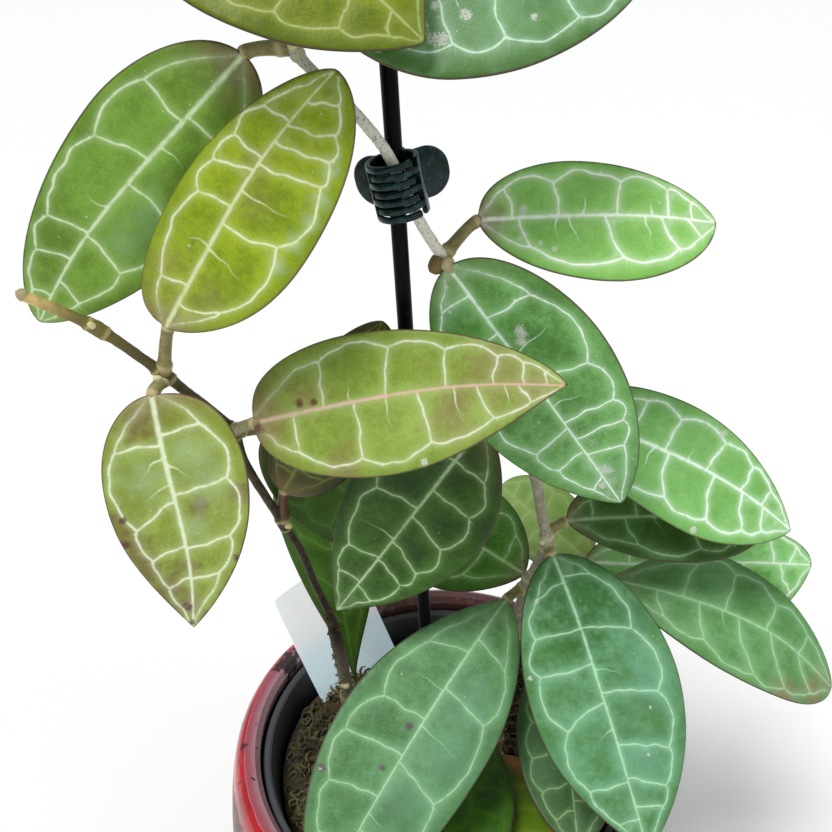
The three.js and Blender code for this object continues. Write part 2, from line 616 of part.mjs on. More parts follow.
function mossSolid() {
  const floor = LINER_FOOT + LINER_WALL + SEAT_GAP;
  const wallAt = (z) => {
    const share = (z - LINER_FOOT) / (LINER_RIM_HEIGHT - LINER_FOOT);
    return THREE.MathUtils.lerp(LINER_FOOT_RADIUS, LINER_RIM_RADIUS - LINER_LIP, share) - LINER_WALL - SEAT_GAP - 0.2;
  };
  const footRadius = wallAt(floor);
  const edgeRadius = wallAt(MOSS_EDGE_HEIGHT - MOSS_LUMP);
  const profile = [[0, floor], [footRadius, floor]];
  for (let ring = MOSS_RINGS; ring >= 0; ring -= 1) {
    const share = ring / MOSS_RINGS;
    profile.push([edgeRadius * share, MOSS_EDGE_HEIGHT + MOSS_CROWN * (1 - share * share)]);
  }
  const outline = profile.map(([radius, height]) => new THREE.Vector2(radius, height));
  const geometry = new THREE.LatheGeometry(outline, MOSS_SIDES);
  geometry.rotateX(Math.PI / 2);
  const place = geometry.attributes.position;
  for (let i = 0; i < place.count; i += 1) {
    const [x, y, z] = [place.getX(i), place.getY(i), place.getZ(i)];
    if (z > MOSS_EDGE_HEIGHT - 1) {
      const lump = Math.sin(x * 0.31 + 1) * Math.cos(y * 0.27) + 0.6 * Math.sin(x * 0.13 - y * 0.41 + 2);
      place.setZ(i, z + MOSS_LUMP * lump * 0.6);
    }
  }
  let moss = toSolid(geometry);
  for (const stem of Object.values(STEMS)) {
    moss = moss.subtract(stemSolid(stem, SEAT_GAP));
  }
  moss = moss.subtract(stakeSolid(SEAT_GAP));
  return moss.subtract(labelSolid(SEAT_GAP));
}

addPiece("moss", toGeometry(mossSolid()), COLOUR.moss, 0.95);

export default part;
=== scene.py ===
# %% [markdown]
# # A hoya elliptica on a stake
#
# This lesson dresses a potted climbing plant: thick oval leaves netted by pale veins, three woody
# vines, a thin stake with a spring clip, and a worn red pot with an inner grower's pot. The packed
# CAD model is the frame, in metres, and every new piece takes the place of one of its nodes.

# %% Load the frame
import math
import random

import bmesh
import bpy
import numpy as np
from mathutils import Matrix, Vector, noise
from mathutils.geometry import delaunay_2d_cdt


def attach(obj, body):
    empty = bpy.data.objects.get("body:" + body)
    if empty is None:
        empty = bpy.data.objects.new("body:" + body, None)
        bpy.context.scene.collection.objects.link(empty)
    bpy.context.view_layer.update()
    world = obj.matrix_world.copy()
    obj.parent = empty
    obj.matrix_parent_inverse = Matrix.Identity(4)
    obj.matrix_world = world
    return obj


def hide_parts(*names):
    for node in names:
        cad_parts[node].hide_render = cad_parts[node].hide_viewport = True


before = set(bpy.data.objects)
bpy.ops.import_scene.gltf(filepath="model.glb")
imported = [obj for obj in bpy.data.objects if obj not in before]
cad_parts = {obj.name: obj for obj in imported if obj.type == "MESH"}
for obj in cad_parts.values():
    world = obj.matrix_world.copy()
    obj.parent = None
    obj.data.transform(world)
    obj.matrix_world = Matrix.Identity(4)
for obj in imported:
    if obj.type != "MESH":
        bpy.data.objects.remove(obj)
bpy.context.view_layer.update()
MM = 0.001

# %% [markdown]
# The camera stands about where the photographer stood: close in front of the plant, nearly as high as its
# top, looking down by a little more than a third of a right angle. Its lens and its tilt are estimates.
# The short arc of the pot's rim that shows would fit many of them, and the stake's taper narrows the choice.

# %% Camera
PICTURE_WIDTH = 832
FOCAL_LENGTH_PIXELS = 900
SENSOR_WIDTH = 36
LOOK_DOWN = 33
CAMERA_PLACE = (-0.0114, -0.227, 0.433)

camera_data = bpy.data.cameras.new("photo_camera")
camera_data.sensor_width = SENSOR_WIDTH
camera_data.lens = FOCAL_LENGTH_PIXELS / PICTURE_WIDTH * SENSOR_WIDTH
camera_data.clip_start = 0.01
camera = bpy.data.objects.new("photo_camera", camera_data)
camera.location = CAMERA_PLACE
camera.rotation_euler = (math.radians(90 - LOOK_DOWN), 0, 0)
bpy.context.scene.collection.objects.link(camera)
bpy.context.scene.camera = camera
print("lens", round(camera_data.lens, 2), "mm")

# %% [markdown]
# Materials share a few helpers. One turns a hex colour, as a picture editor shows it, to the linear
# values that the renderer counts in, and one adds a node with its settings and its links. Most of a
# finish is one colour laid over another where a mask is high, as a painter glazes, so that is a
# helper too. The last one gives the shader its colour, its gloss and its finest relief.

# %% Material helpers
NOISE = "ShaderNodeTexNoise"
MATH = "ShaderNodeMath"
RANGE = "ShaderNodeMapRange"
VORONOI = "ShaderNodeTexVoronoi"


def linear(hex_colour):
    values = [int(hex_colour[i:i + 2], 16) / 255 for i in (1, 3, 5)]
    return [v / 12.92 if v <= 0.04045 else ((v + 0.055) / 1.055) ** 2.4 for v in values] + [1.0]


def add_node(tree, kind, inputs, output=0, **settings):
    """Adds a node with its settings and links, and gives back one of its outputs."""
    made = tree.nodes.new(kind)
    for name, value in settings.items():
        setattr(made, name, value)
    for socket, value in inputs.items():
        if isinstance(value, bpy.types.NodeSocket):
            tree.links.new(value, made.inputs[socket])
        else:
            made.inputs[socket].default_value = value
    return made.outputs[output]


def start_material(name):
    material = bpy.data.materials.new(name)
    material.use_nodes = True
    tree = material.node_tree
    return material, tree, tree.nodes["Principled BSDF"], add_node(tree, "ShaderNodeTexCoord", {}, "Object")


def glaze(tree, below, colour, mask, low=0.0, high=1.0, power=1.0):
    """Lays a colour over the one below where a mask has risen from low to high, up to a power."""
    share = add_node(tree, RANGE, {"Value": mask, "From Min": low, "From Max": high, "To Max": power},
                     interpolation_type="SMOOTHSTEP")
    return add_node(tree, "ShaderNodeMix", {0: share, 6: below, 7: colour}, 2, data_type="RGBA")


def dress(tree, shader, colour, dull, gloss_range, height, depth_mm, strength=0.7):
    """The shader's colour, its roughness between two values after a noise, and a fine relief."""
    rough = add_node(tree, RANGE, {"Value": dull, "From Min": 0.3, "From Max": 0.7,
                                   "To Min": gloss_range[0], "To Max": gloss_range[1]})
    normal = add_node(tree, "ShaderNodeBump", {"Height": height, "Distance": depth_mm * MM,
                                               "Strength": strength})
    tree.links.new(colour, shader.inputs["Base Color"])
    tree.links.new(rough, shader.inputs["Roughness"])
    tree.links.new(normal, shader.inputs["Normal"])


# %% [markdown]
# The stage is a plain pale floor under soft daylight from the upper left, a weak round lamp at the
# right that fills the shadows, and a pale sky, like a plant photographed beside a large window.

# %% Floor and lights
def area_light(name, place, aim, size, watts):
    data = bpy.data.lights.new(name, "AREA")
    data.shape = "DISK"
    data.size = size
    data.energy = watts
    lamp = bpy.data.objects.new(name, data)
    lamp.location = place
    lamp.rotation_euler = (Vector(aim) - Vector(place)).to_track_quat("-Z", "Y").to_euler()
    bpy.context.scene.collection.objects.link(lamp)
    return lamp


bpy.ops.object.select_all(action="DESELECT")
bpy.ops.mesh.primitive_plane_add(size=12, location=(0, 0, 0))
floor = bpy.context.object
floor.name = "pale_floor"
floor_material, tree, shader, place = start_material("matte_pale_paint")
shader.inputs["Base Color"].default_value = linear("#fafaf8")
shader.inputs["Roughness"].default_value = 0.9
floor.data.materials.append(floor_material)

PLANT_MIDDLE = Vector((0, 0, 0.26))
daylight = bpy.data.lights.new("soft_daylight", "SUN")
daylight.energy = 2.3
daylight.angle = math.radians(20)
window = bpy.data.objects.new("soft_daylight", daylight)
window.rotation_euler = (-Vector((-0.35, -0.3, 1.0))).to_track_quat("-Z", "Y").to_euler()
bpy.context.scene.collection.objects.link(window)
area_light("side_right", (1.0, -0.6, 0.9), PLANT_MIDDLE, 0.9, 3)

world = bpy.data.worlds.new("pale_room")
world.use_nodes = True
sky = world.node_tree.nodes["Background"]
sky.inputs["Color"].default_value = linear("#f2f6fa")
sky.inputs["Strength"].default_value = 0.42
bpy.context.scene.world = world
bpy.context.scene.view_settings.view_transform = "Standard"
print("lights ready")

# %% [markdown]
# ## Leaves
#
# A blade is drawn flat first, in millimetres: its outline, its midrib, its side veins, and the
# scalloped vein that joins their ends inside the margin. The flat sheet is then laid on the blade's
# curved middle surface, the same one that the CAD solid has, and gets two faces and a round margin.
# Each row below repeats one leaf of the part's source: where its stalk joins the stem, base and tip
# of the blade, the way its face looks, and its form. Pairs are the left and the right half.
# Side veins are (start on the midrib, end along the leaf, end across it), spurs are free veins.

# %% Leaf table
CAMERA_FACE = (0, -0.84, 0.54)
PLAIN_VEINS = [
    (0.12, 0.13, -0.68), (0.29, 0.32, -0.72), (0.47, 0.50, -0.70), (0.64, 0.68, -0.72), (0.79, 0.83, -0.66),
    (0.16, 0.19, 0.70), (0.35, 0.39, 0.68), (0.54, 0.58, 0.72), (0.70, 0.75, 0.68), (0.84, 0.88, 0.62),
]
PLAIN_SPURS = [(0.38, 0.40, -0.40), (0.45, 0.46, 0.42), (0.62, 0.63, 0.38)]

# Sheens in the rows are painted sheen: pale patches that stand for the sky's reflection on the wax.
LEAVES = [
    dict(name="leaf_top_front", joint=(-57, 6, 431), base=(-68, 3, 438.5), tip=(-9.5, -25, 395.5),
         face=CAMERA_FACE, half=(27, 28), widest=(0.4, 0.41), base_round=(0.5, 0.5),
         tip_round=(0.95, 0.85), arch=4, bend=0, lift=(2, 2), sway=0, look="olive",
         veins=PLAIN_VEINS[:5] + [(0.15, 0.14, 0.68), (0.32, 0.33, 0.72), (0.48, 0.50, 0.73),
                (0.62, 0.66, 0.72), (0.76, 0.81, 0.62), (0.88, 0.92, 0.50)], spurs=PLAIN_SPURS),
    dict(name="leaf_top_back", joint=(-47, -3, 402), base=(-36.5, -6.5, 404.5), tip=(40, -8.5, 407.5),
         face=CAMERA_FACE, half=(23, 23.5), widest=(0.45, 0.44), base_round=(0.6, 0.75),
         tip_round=(0.6, 0.75), arch=3, bend=0.5, lift=(1, 1), sway=0, look="bluish_top",
         veins=PLAIN_VEINS[:5] + [(0.20, 0.22, 0.62), (0.38, 0.43, 0.66), (0.53, 0.58, 0.65),
                (0.72, 0.79, 0.65), (0.87, 0.91, 0.60)], spurs=PLAIN_SPURS,
         scars=[(0.34, 0.50, 2.6), (0.40, 0.62, 2.4), (0.47, 0.42, 2.0), (0.38, 0.30, 2.0),
                (0.66, 0.50, 1.4), (0.22, 0.85, 1.6)],
         painted_sheens=[(0.35, 0.4, 12), (0.55, 0.4, 14), (0.8, 0.3, 12)], vein_scale=0.9),
    dict(name="leaf_upper_left_back", joint=(-41, -4, 391), base=(-52, -2.5, 389), tip=(-113, -9, 322),
         face=(0.5, -0.8, 0.4), half=(20, 19.5), widest=(0.43, 0.36), base_round=(0.5, 0.5),
         tip_round=(0.75, 0.6), arch=2, bend=1.5, lift=(1, 1), sway=2.5, look="mid",
         veins=[(0.24, 0.21, 0.75), (0.38, 0.41, 0.75), (0.66, 0.68, 0.78), (0.76, 0.79, 0.77),
                (0.90, 0.91, 0.70), (0.22, 0.23, -0.70), (0.47, 0.50, -0.70), (0.67, 0.71, -0.58),
                (0.84, 0.87, -0.55)], spurs=[(0.56, 0.56, 0.45), (0.33, 0.34, -0.28)],
         scars=[(0.30, -0.55, 0.8), (0.62, 0.3, 0.5)], hazes=[(0.04, -0.4, 7), (0.02, 0.6, 6)],
         painted_sheens=[(0.5, -0.4, 8), (0.62, -0.3, 7)], vein_scale=1.15),
    dict(name="leaf_upper_left_front", joint=(-81, -12, 308), base=(-77, -15.5, 323.5),
         tip=(-29, -14.5, 388), face=CAMERA_FACE, half=(15.5, 21), widest=(0.43, 0.47),
         base_round=(0.3, 0.75), tip_round=(0.7, 0.5), arch=3, bend=-0.5, lift=(1, 1), sway=-2,
         look="olive_bright",
         veins=[(0.18, 0.15, -0.58), (0.49, 0.46, -0.67), (0.62, 0.57, -0.76), (0.67, 0.67, -0.77),
                (0.80, 0.79, -0.80), (0.11, 0.19, 0.70), (0.43, 0.49, 0.63), (0.65, 0.72, 0.72),
                (0.73, 0.79, 0.68), (0.79, 0.86, 0.62), (0.88, 0.93, 0.52)],
         spurs=[(0.34, 0.32, -0.42), (0.33, 0.33, 0.52), (0.55, 0.59, 0.57)],
         scars=[(0.30, -0.35, 0.6), (0.88, 0.25, 0.6)], vein_scale=1.1,
         hazes=[(0.56, 0.1, 5), (0.64, -0.12, 5), (0.04, 0, 9), (0.2, -0.6, 6), (0.2, 0.4, 5)],
         painted_sheens=[(0.45, 0.78, 3), (0.54, 0.8, 3), (0.62, 0.82, 3), (0.7, 0.82, 3), (0.78, 0.75, 3)]),
    dict(name="leaf_left_hanging", joint=(-81, -12, 306), base=(-83.5, -17.5, 304), tip=(-76, -41, 239),
         face=CAMERA_FACE, half=(23, 17), widest=(0.35, 0.35), base_round=(0.35, 0.5),
         tip_round=(0.95, 1.1), arch=4, bend=-0.5, lift=(1.5, 1.5), sway=-2.5, look="purple",
         veins=[(0.20, 0.21, 0.80), (0.43, 0.53, 0.64), (0.62, 0.67, 0.58), (0.76, 0.80, 0.52),
                (0.88, 0.90, 0.4), (0.16, 0.13, -0.62), (0.40, 0.35, -0.74), (0.63, 0.59, -0.77),
                (0.77, 0.75, -0.72)], spurs=[(0.25, 0.34, 0.40), (0.36, 0.41, 0.36), (0.28, 0.33, -0.30)],
         hazes=[(0.57, 0.85, 6), (0.68, 0.8, 6), (0.80, 0.55, 6), (0.48, 0.92, 4), (0.46, -0.35, 4),
                (0.88, 0, 5), (0.70, -0.2, 3), (0.42, -0.9, 4), (0.1, 0.3, 6)],
         blotches=[(0.89, 0.12, 1.8), (0.69, -0.97, 1.4), (0.48, 0.8, 1.2), (0.58, 0.92, 1.6),
                   (0.97, 0, 1.6)],
         painted_sheens=[(0.25, -0.4, 8), (0.36, -0.5, 8), (0.32, 0.3, 8), (0.55, -0.3, 6)], vein_scale=1.3),
    dict(name="leaf_middle_front", joint=(-67, -1, 281), base=(-58, -12, 291), tip=(28, -28, 313),
         face=CAMERA_FACE, half=(19.5, 20), widest=(0.39, 0.42), base_round=(0.35, 0.5),
         tip_round=(0.7, 1.2), arch=3, bend=-1.5, lift=(1, 1), sway=-2, look="pink",
         veins=[(0.26, 0.26, -0.72), (0.46, 0.49, -0.75), (0.65, 0.66, -0.72), (0.79, 0.81, -0.72),
                (0.88, 0.88, -0.73), (0.94, 0.94, -0.70), (0.15, 0.16, 0.67), (0.36, 0.37, 0.73),
                (0.56, 0.59, 0.67), (0.74, 0.78, 0.63), (0.86, 0.89, 0.67)],
         spurs=[(0.67, 0.69, 0.50), (0.82, 0.83, 0.42), (0.35, 0.35, -0.30), (0.46, 0.47, 0.35)],
         scars=[(0.56, 0.92, 1.7)], blotches=[(0.18, -0.17, 1.6), (0.23, -0.15, 1.3), (0.01, 0.3, 2.5)],
         hazes=[(0.2, -0.2, 5), (0.80, -0.4, 9), (0.66, 0.3, 8), (0.9, 0.2, 6), (0.05, 0, 8),
                (0.3, 0.85, 6)], vein_scale=1.05),
    dict(name="leaf_upper_right", joint=(-4, 1.5, 336.5), base=(5, 3, 346), tip=(65.5, -7, 349),
         face=CAMERA_FACE, half=(14.5, 16.5), widest=(0.38, 0.57), base_round=(0.4, 0.7),
         tip_round=(0.7, 0.5), arch=2, bend=-0.5, lift=(1, 1), sway=-0.7, look="fresh",
         veins=[(0.15, 0.11, -0.72), (0.35, 0.32, -0.63), (0.59, 0.60, -0.70), (0.80, 0.79, -0.77),
                (0.90, 0.89, -0.72), (0.18, 0.24, 0.62), (0.54, 0.63, 0.62), (0.77, 0.85, 0.60),
                (0.88, 0.94, 0.48)],
         spurs=[(0.45, 0.45, -0.38), (0.74, 0.72, -0.40), (0.34, 0.35, 0.34), (0.39, 0.44, 0.40),
                (0.71, 0.73, 0.38)],
         scars=[(0.20, -0.17, 1.8), (0.34, 0.58, 1.7), (0.28, 0.5, 1.1), (0.62, 0.7, 0.8),
                (0.76, -0.4, 0.7)], hazes=[(0.02, 0, 7)], vein_scale=1.05),
    dict(name="leaf_middle_right", joint=(-3, 2, 334), base=(-3, -3.5, 335.5), tip=(48.5, -21, 269),
         face=(-0.45, -0.8, 0.45), half=(23, 22), widest=(0.44, 0.47), base_round=(0.5, 0.55),
         tip_round=(0.75, 0.85), arch=3, bend=-1.5, lift=(1, 1), sway=0, look="bluish",
         veins=[(0.20, 0.21, -0.70), (0.46, 0.49, -0.67), (0.63, 0.64, -0.73), (0.70, 0.72, -0.77),
                (0.77, 0.80, -0.68), (0.11, 0.11, 0.67), (0.26, 0.28, 0.60), (0.45, 0.47, 0.65),
                (0.65, 0.68, 0.63), (0.75, 0.77, 0.58), (0.87, 0.90, 0.50)],
         spurs=[(0.35, 0.32, -0.57), (0.56, 0.57, -0.35)],
         scars=[(0.29, -0.25, 3.2), (0.32, -0.18, 2.4), (0.05, 0.4, 1.2), (0.12, 0.5, 1.0),
                (0.85, -0.12, 3.4), (0.90, 0.2, 1.4)],
         frosts=[(0.90, -0.05, 6), (0.80, 0.1, 5), (0.74, -0.2, 4)],
         painted_sheens=[(0.86, -0.1, 6), (0.1, 0.4, 6)], vein_scale=0.85),
    dict(name="leaf_right_pale", joint=(17, 9, 283), base=(37, 12.5, 278), tip=(107, -8, 247.5),
         face=CAMERA_FACE, half=(17.5, 19), widest=(0.41, 0.58), base_round=(0.3, 0.55),
         tip_round=(0.85, 0.75), arch=2, bend=-3, lift=(1, 1), sway=-1.5, look="fresh_pale",
         veins=[(0.25, 0.25, -0.78), (0.40, 0.40, -0.68), (0.58, 0.60, -0.73), (0.74, 0.74, -0.77),
                (0.84, 0.85, -0.75), (0.20, 0.22, 0.65), (0.42, 0.48, 0.65), (0.62, 0.67, 0.65),
                (0.75, 0.82, 0.63), (0.85, 0.89, 0.53)], spurs=[(0.36, 0.35, 0.45), (0.5, 0.5, -0.3)],
         scars=[(0.57, -0.85, 2.0), (0.64, 0.9, 1.6)], vein_scale=1.2),
    dict(name="leaf_right_dark", joint=(32, 6.5, 234), base=(39.5, 9.5, 237), tip=(106, 6.5, 241.5),
         face=(0, -0.7, 0.7), half=(16, 16), widest=(0.5, 0.59), base_round=(0.45, 0.8),
         tip_round=(0.55, 0.5), arch=2, bend=-1, lift=(1, 1), sway=0.5, look="deep_shade",
         veins=[(0.13, 0.13, -0.55), (0.35, 0.36, -0.65), (0.55, 0.57, -0.70), (0.75, 0.78, -0.65),
                (0.29, 0.35, 0.70), (0.59, 0.65, 0.70), (0.78, 0.83, 0.65)], spurs=[(0.44, 0.48, 0.43)]),
    dict(name="leaf_right_tip", joint=(52, 23, 203), base=(53.5, 32.5, 198), tip=(136, 24, 204),
         face=CAMERA_FACE, half=(18, 26.5), widest=(0.5, 0.59), base_round=(0.6, 0.6),
         tip_round=(0.5, 0.8), arch=2, bend=1.5, lift=(1, 1), sway=-2, look="fresh_shaded",
         veins=[(0.20, 0.20, -0.70), (0.40, 0.41, -0.70), (0.60, 0.62, -0.70), (0.83, 0.82, -0.73),
                (0.90, 0.93, -0.80), (0.30, 0.32, 0.70), (0.52, 0.55, 0.72), (0.70, 0.74, 0.70),
                (0.86, 0.90, 0.73)], spurs=[], vein_scale=1.15),
    dict(name="leaf_right_arching", joint=(51, 23, 202), base=(58.5, 13.5, 206.5),
         tip=(132.5, -16.5, 183.5), face=(0.1, -0.5, 0.85), half=(22, 17), widest=(0.42, 0.57),
         base_round=(0.9, 0.85), tip_round=(0.65, 0.45), arch=12, bend=-1, lift=(-1, -1), sway=-3,
         look="arching",
         veins=[(0.29, 0.30, -0.73), (0.46, 0.46, -0.78), (0.64, 0.65, -0.68), (0.80, 0.82, -0.70),
                (0.19, 0.25, 0.65), (0.36, 0.42, 0.63), (0.52, 0.65, 0.78), (0.66, 0.79, 0.75),
                (0.80, 0.91, 0.62)], spurs=[(0.45, 0.52, 0.33)],
         hazes=[(0.8, 0.95, 6), (0.92, 0.6, 6), (0.97, 0, 4)]),
    dict(name="leaf_front_right", joint=(33, 6, 230), base=(34.5, 2, 228.5), tip=(62.5, -61.5, 159.5),
         face=(0.1, -0.7, 0.75), half=(26, 25), widest=(0.46, 0.48), base_round=(0.55, 0.6),
         tip_round=(0.8, 1), arch=3, bend=-1.5, lift=(1, 1), sway=0.8, look="blue_front",
         veins=[(0.08, 0.10, -0.62), (0.26, 0.31, -0.65), (0.48, 0.53, -0.68), (0.65, 0.71, -0.72),
                (0.76, 0.82, -0.68), (0.85, 0.88, -0.67), (0.10, 0.13, 0.70), (0.26, 0.25, 0.75),
                (0.38, 0.37, 0.77), (0.51, 0.56, 0.63), (0.77, 0.76, 0.78), (0.89, 0.89, 0.75)],
         spurs=[(0.40, 0.44, -0.30), (0.60, 0.62, 0.30)],
         scars=[(0.13, 0.70, 1.4), (0.36, 0.92, 1.3), (0.57, -0.53, 1.0), (0.71, -0.38, 1.1)],
         # These dark hazes, and the dark foot of this look, are painted shade where the leaves above shade
         # the blade.
         hazes=[(0.10, 0.3, 11), (0.13, -0.3, 11), (0.26, 0, 11), (0.27, -0.7, 8)],
         painted_sheens=[(0.5, -0.6, 12), (0.72, -0.3, 10), (0.3, -0.7, 8)], vein_scale=0.95),
    dict(name="leaf_front_left", joint=(27, 4, 213), base=(20, 0, 210), tip=(-40, -76.5, 160),
         face=(0, -0.6, 0.8), half=(24, 25), widest=(0.46, 0.54), base_round=(0.7, 0.9),
         tip_round=(0.45, 0.6), arch=3, bend=2, lift=(-1, 1), sway=0, look="grey_front",
         veins=[(0.21, 0.25, 0.70), (0.45, 0.46, 0.62), (0.57, 0.60, 0.80), (0.70, 0.74, 0.72),
                (0.84, 0.87, 0.65), (0.16, 0.20, -0.73), (0.34, 0.37, -0.72), (0.59, 0.63, -0.70),
                (0.80, 0.83, -0.65)],
         spurs=[(0.35, 0.35, 0.48), (0.47, 0.49, -0.60), (0.75, 0.76, -0.28)],
         scars=[(0.33, -0.3, 0.6), (0.38, 0.62, 0.6), (0.73, 0.90, 0.9)],
         blotches=[(0.49, 0.12, 0.9), (0.63, 0.13, 0.8), (0.73, 0.90, 1.4)],
         painted_sheens=[(0.35, -0.45, 12), (0.5, -0.5, 13), (0.65, -0.45, 11), (0.8, -0.4, 8)], vein_scale=0.78),
    dict(name="leaf_lower_middle", joint=(17, 9, 284), base=(9, -6, 287.5), tip=(-37.5, -16, 220),
         face=CAMERA_FACE, half=(22.5, 22.5), widest=(0.39, 0.34), base_round=(0.75, 0.5),
         tip_round=(1.05, 1), arch=3, bend=0, lift=(1, 1), sway=0, look="deep_shade_middle",
         veins=[(0.18, 0.20, 0.65), (0.41, 0.44, 0.63), (0.67, 0.70, 0.63), (0.81, 0.82, 0.72),
                (0.18, 0.18, -0.63), (0.32, 0.32, -0.63), (0.45, 0.49, -0.60), (0.58, 0.63, -0.63),
                (0.68, 0.71, -0.65), (0.83, 0.85, -0.70)], spurs=[(0.57, 0.58, 0.60)], vein_scale=1.05),
    dict(name="leaf_lower_behind", joint=(27.5, 4, 215), base=(26.5, 7, 215), tip=(-12, 47.5, 213),
         face=(-0.2, -0.5, 0.85), half=(23, 21), widest=(0.59, 0.56), base_round=(0.7, 0.6),
         tip_round=(0.6, 0.6), arch=3, bend=-0.5, lift=(1, 1), sway=0, look="deep_shade_behind",
         veins=[(0.31, 0.32, -0.62), (0.5, 0.54, -0.68), (0.7, 0.73, -0.66)] + PLAIN_VEINS[5:],
         spurs=PLAIN_SPURS),
    dict(name="leaf_back_pale", joint=(47, 22, 185), base=(59, 47, 185), tip=(25, 80, 198),
         face=CAMERA_FACE, half=(16, 16), widest=(0.5, 0.5), base_round=(0.5, 0.5), tip_round=(0.5, 0.5),
         arch=2, bend=0, lift=(1, 1), sway=0, look="pale", veins=PLAIN_VEINS, spurs=PLAIN_SPURS),
    dict(name="leaf_back_rising", joint=(-40, 27, 127), base=(-36.5, 28.5, 131), tip=(-52, 60.5, 233),
         face=CAMERA_FACE, half=(19, 19), widest=(0.81, 0.73), base_round=(1.7, 1.75),
         tip_round=(0.65, 0.6), arch=3, bend=1, lift=(1, 1), sway=0, look="shaded",
         veins=[(0.30, 0.36, -0.6), (0.45, 0.52, -0.65), (0.60, 0.68, -0.62), (0.78, 0.84, -0.66),
                (0.33, 0.40, 0.62), (0.50, 0.57, 0.64), (0.66, 0.73, 0.60), (0.82, 0.88, 0.60)],
         spurs=[]),
    dict(name="leaf_middle_behind", joint=(-56, 7, 238), base=(-54.5, 5, 253), tip=(-21, 12.5, 311),
         face=CAMERA_FACE, half=(13, 17.5), widest=(0.48, 0.47), base_round=(0.4, 0.55),
         tip_round=(0.65, 0.55), arch=2, bend=0, lift=(1, 1), sway=0, look="olive_shaded",
         veins=PLAIN_VEINS, spurs=PLAIN_SPURS),
    dict(name="leaf_low_green", joint=(20, 0, 137), base=(7, -3, 146), tip=(9, -62, 146),
         face=(0, -0.5, 0.85), half=(15, 16), widest=(0.5, 0.5), base_round=(0.6, 0.6),
         tip_round=(0.6, 0.6), arch=2, bend=0, lift=(1, 1), sway=0, look="deep_shade_low", veins=PLAIN_VEINS,
         spurs=PLAIN_SPURS),
    dict(name="leaf_low_red", joint=(19, 0, 131), base=(21, -7, 134), tip=(26, -62, 139),
         face=(0, -0.5, 0.85), half=(16, 14), widest=(0.5, 0.5), base_round=(0.6, 0.6),
         tip_round=(0.6, 0.6), arch=2, bend=0, lift=(1, 1), sway=0, look="red_edge", veins=PLAIN_VEINS,
         spurs=PLAIN_SPURS),
    dict(name="leaf_low_grey", joint=(43, 22, 165), base=(42, 11, 169), tip=(43, -52, 147),
         face=(0, -0.6, 0.8), half=(18, 18), widest=(0.5, 0.5), base_round=(0.6, 0.6),
         tip_round=(0.6, 0.6), arch=2, bend=0, lift=(1, 1), sway=0, look="shaded_grey", veins=PLAIN_VEINS,
         spurs=PLAIN_SPURS),
    dict(name="leaf_back_left", joint=(-66, 0, 280), base=(-60, 14, 270), tip=(-15, 26, 217),
         face=CAMERA_FACE, half=(18, 18), widest=(0.5, 0.5), base_round=(0.5, 0.5), tip_round=(0.6, 0.6),
         arch=2, bend=0, lift=(1, 1), sway=0, look="shaded", veins=PLAIN_VEINS, spurs=PLAIN_SPURS),
]
print("leaves:", len(LEAVES))

# %% [markdown]
# Three small functions hold the blade's form: how wide it is at a place along it, the curved middle
# surface that a flat point goes to, and which way that surface faces there.

# %% Form of a blade
BLADE_THICKNESS = 1.1


def blade_axes(leaf):
    base = np.array(leaf["base"], float)
    chord = np.array(leaf["tip"], float) - base
    length = np.linalg.norm(chord)
    along = chord / length
    face = np.array(leaf["face"], float)
    face = face - along * (face @ along)
    face = face / np.linalg.norm(face)
    return base, chord, length, face, np.cross(along, face)


def half_width(leaf, t, right):
    """Half width in mm at t from base (0) to tip (1), on the right or the left side."""
    side = np.asarray(right, int)
    widest = np.array(leaf["widest"])[side]
    power = np.where(t < widest, np.array(leaf["base_round"])[side], np.array(leaf["tip_round"])[side])
    reach = np.where(t < widest, (widest - t) / widest, (t - widest) / (1 - widest))
    return np.array(leaf["half"])[side] * np.maximum(1 - reach ** 2, 0) ** power


def middle_surface(leaf, flat):
    """Flat points (across, along) in mm, laid on the blade's curved middle surface."""
    base, chord, length, face, right = blade_axes(leaf)
    t = np.clip(flat[:, 1] / length, 0, 1)
    is_right = flat[:, 0] > 0
    width = np.maximum(half_width(leaf, t, is_right), 0.5)
    u = np.clip(flat[:, 0] / width, -1, 1)
    hump = 4 * t * (1 - t)
    outline = width / np.array(leaf["half"])[is_right.astype(int)]
    rise = leaf["arch"] * hump + np.array(leaf["lift"])[is_right.astype(int)] * u * u * outline
    across = flat[:, 0] + leaf["bend"] * hump
    ahead = flat[:, 1] / length
    return base + ahead[:, None] * chord + across[:, None] * right + rise[:, None] * face


def surface_normals(leaf, flat):
    step = 0.4
    east, north = np.array([step, 0]), np.array([0, step])
    crosswise = middle_surface(leaf, flat + east) - middle_surface(leaf, flat - east)
    lengthwise = middle_surface(leaf, flat + north) - middle_surface(leaf, flat - north)
    normal = np.cross(crosswise, lengthwise)
    return normal / np.linalg.norm(normal, axis=1)[:, None]


# %% [markdown]
# Veins are drawn as lines on the flat blade. A side vein leaves the midrib, wavers a little and ends
# in a joint. Between two joints the joining vein bows towards the margin, which makes the scallops.
# Spurs end free in the field, and short twigs leave the joining vein for the margin.

# %% Vein lines
VEIN_STEP = 0.7


def midrib_shift(leaf, t):
    return leaf["sway"] * np.sin(np.pi * np.asarray(t) ** 1.6)


def flat_point(leaf, t, u):
    length = blade_axes(leaf)[2]
    t = np.asarray(t, float)
    u = np.asarray(u, float)
    return np.stack([u * half_width(leaf, t, u > 0), t * length], axis=-1)


def resample(line, step):
    gaps = np.linalg.norm(np.diff(line, axis=0), axis=1)
    run = np.concatenate([[0], np.cumsum(gaps)])
    count = max(int(run[-1] / step), 2)
    places = np.linspace(0, run[-1], count + 1)
    return np.stack([np.interp(places, run, line[:, k]) for k in range(2)], axis=1)


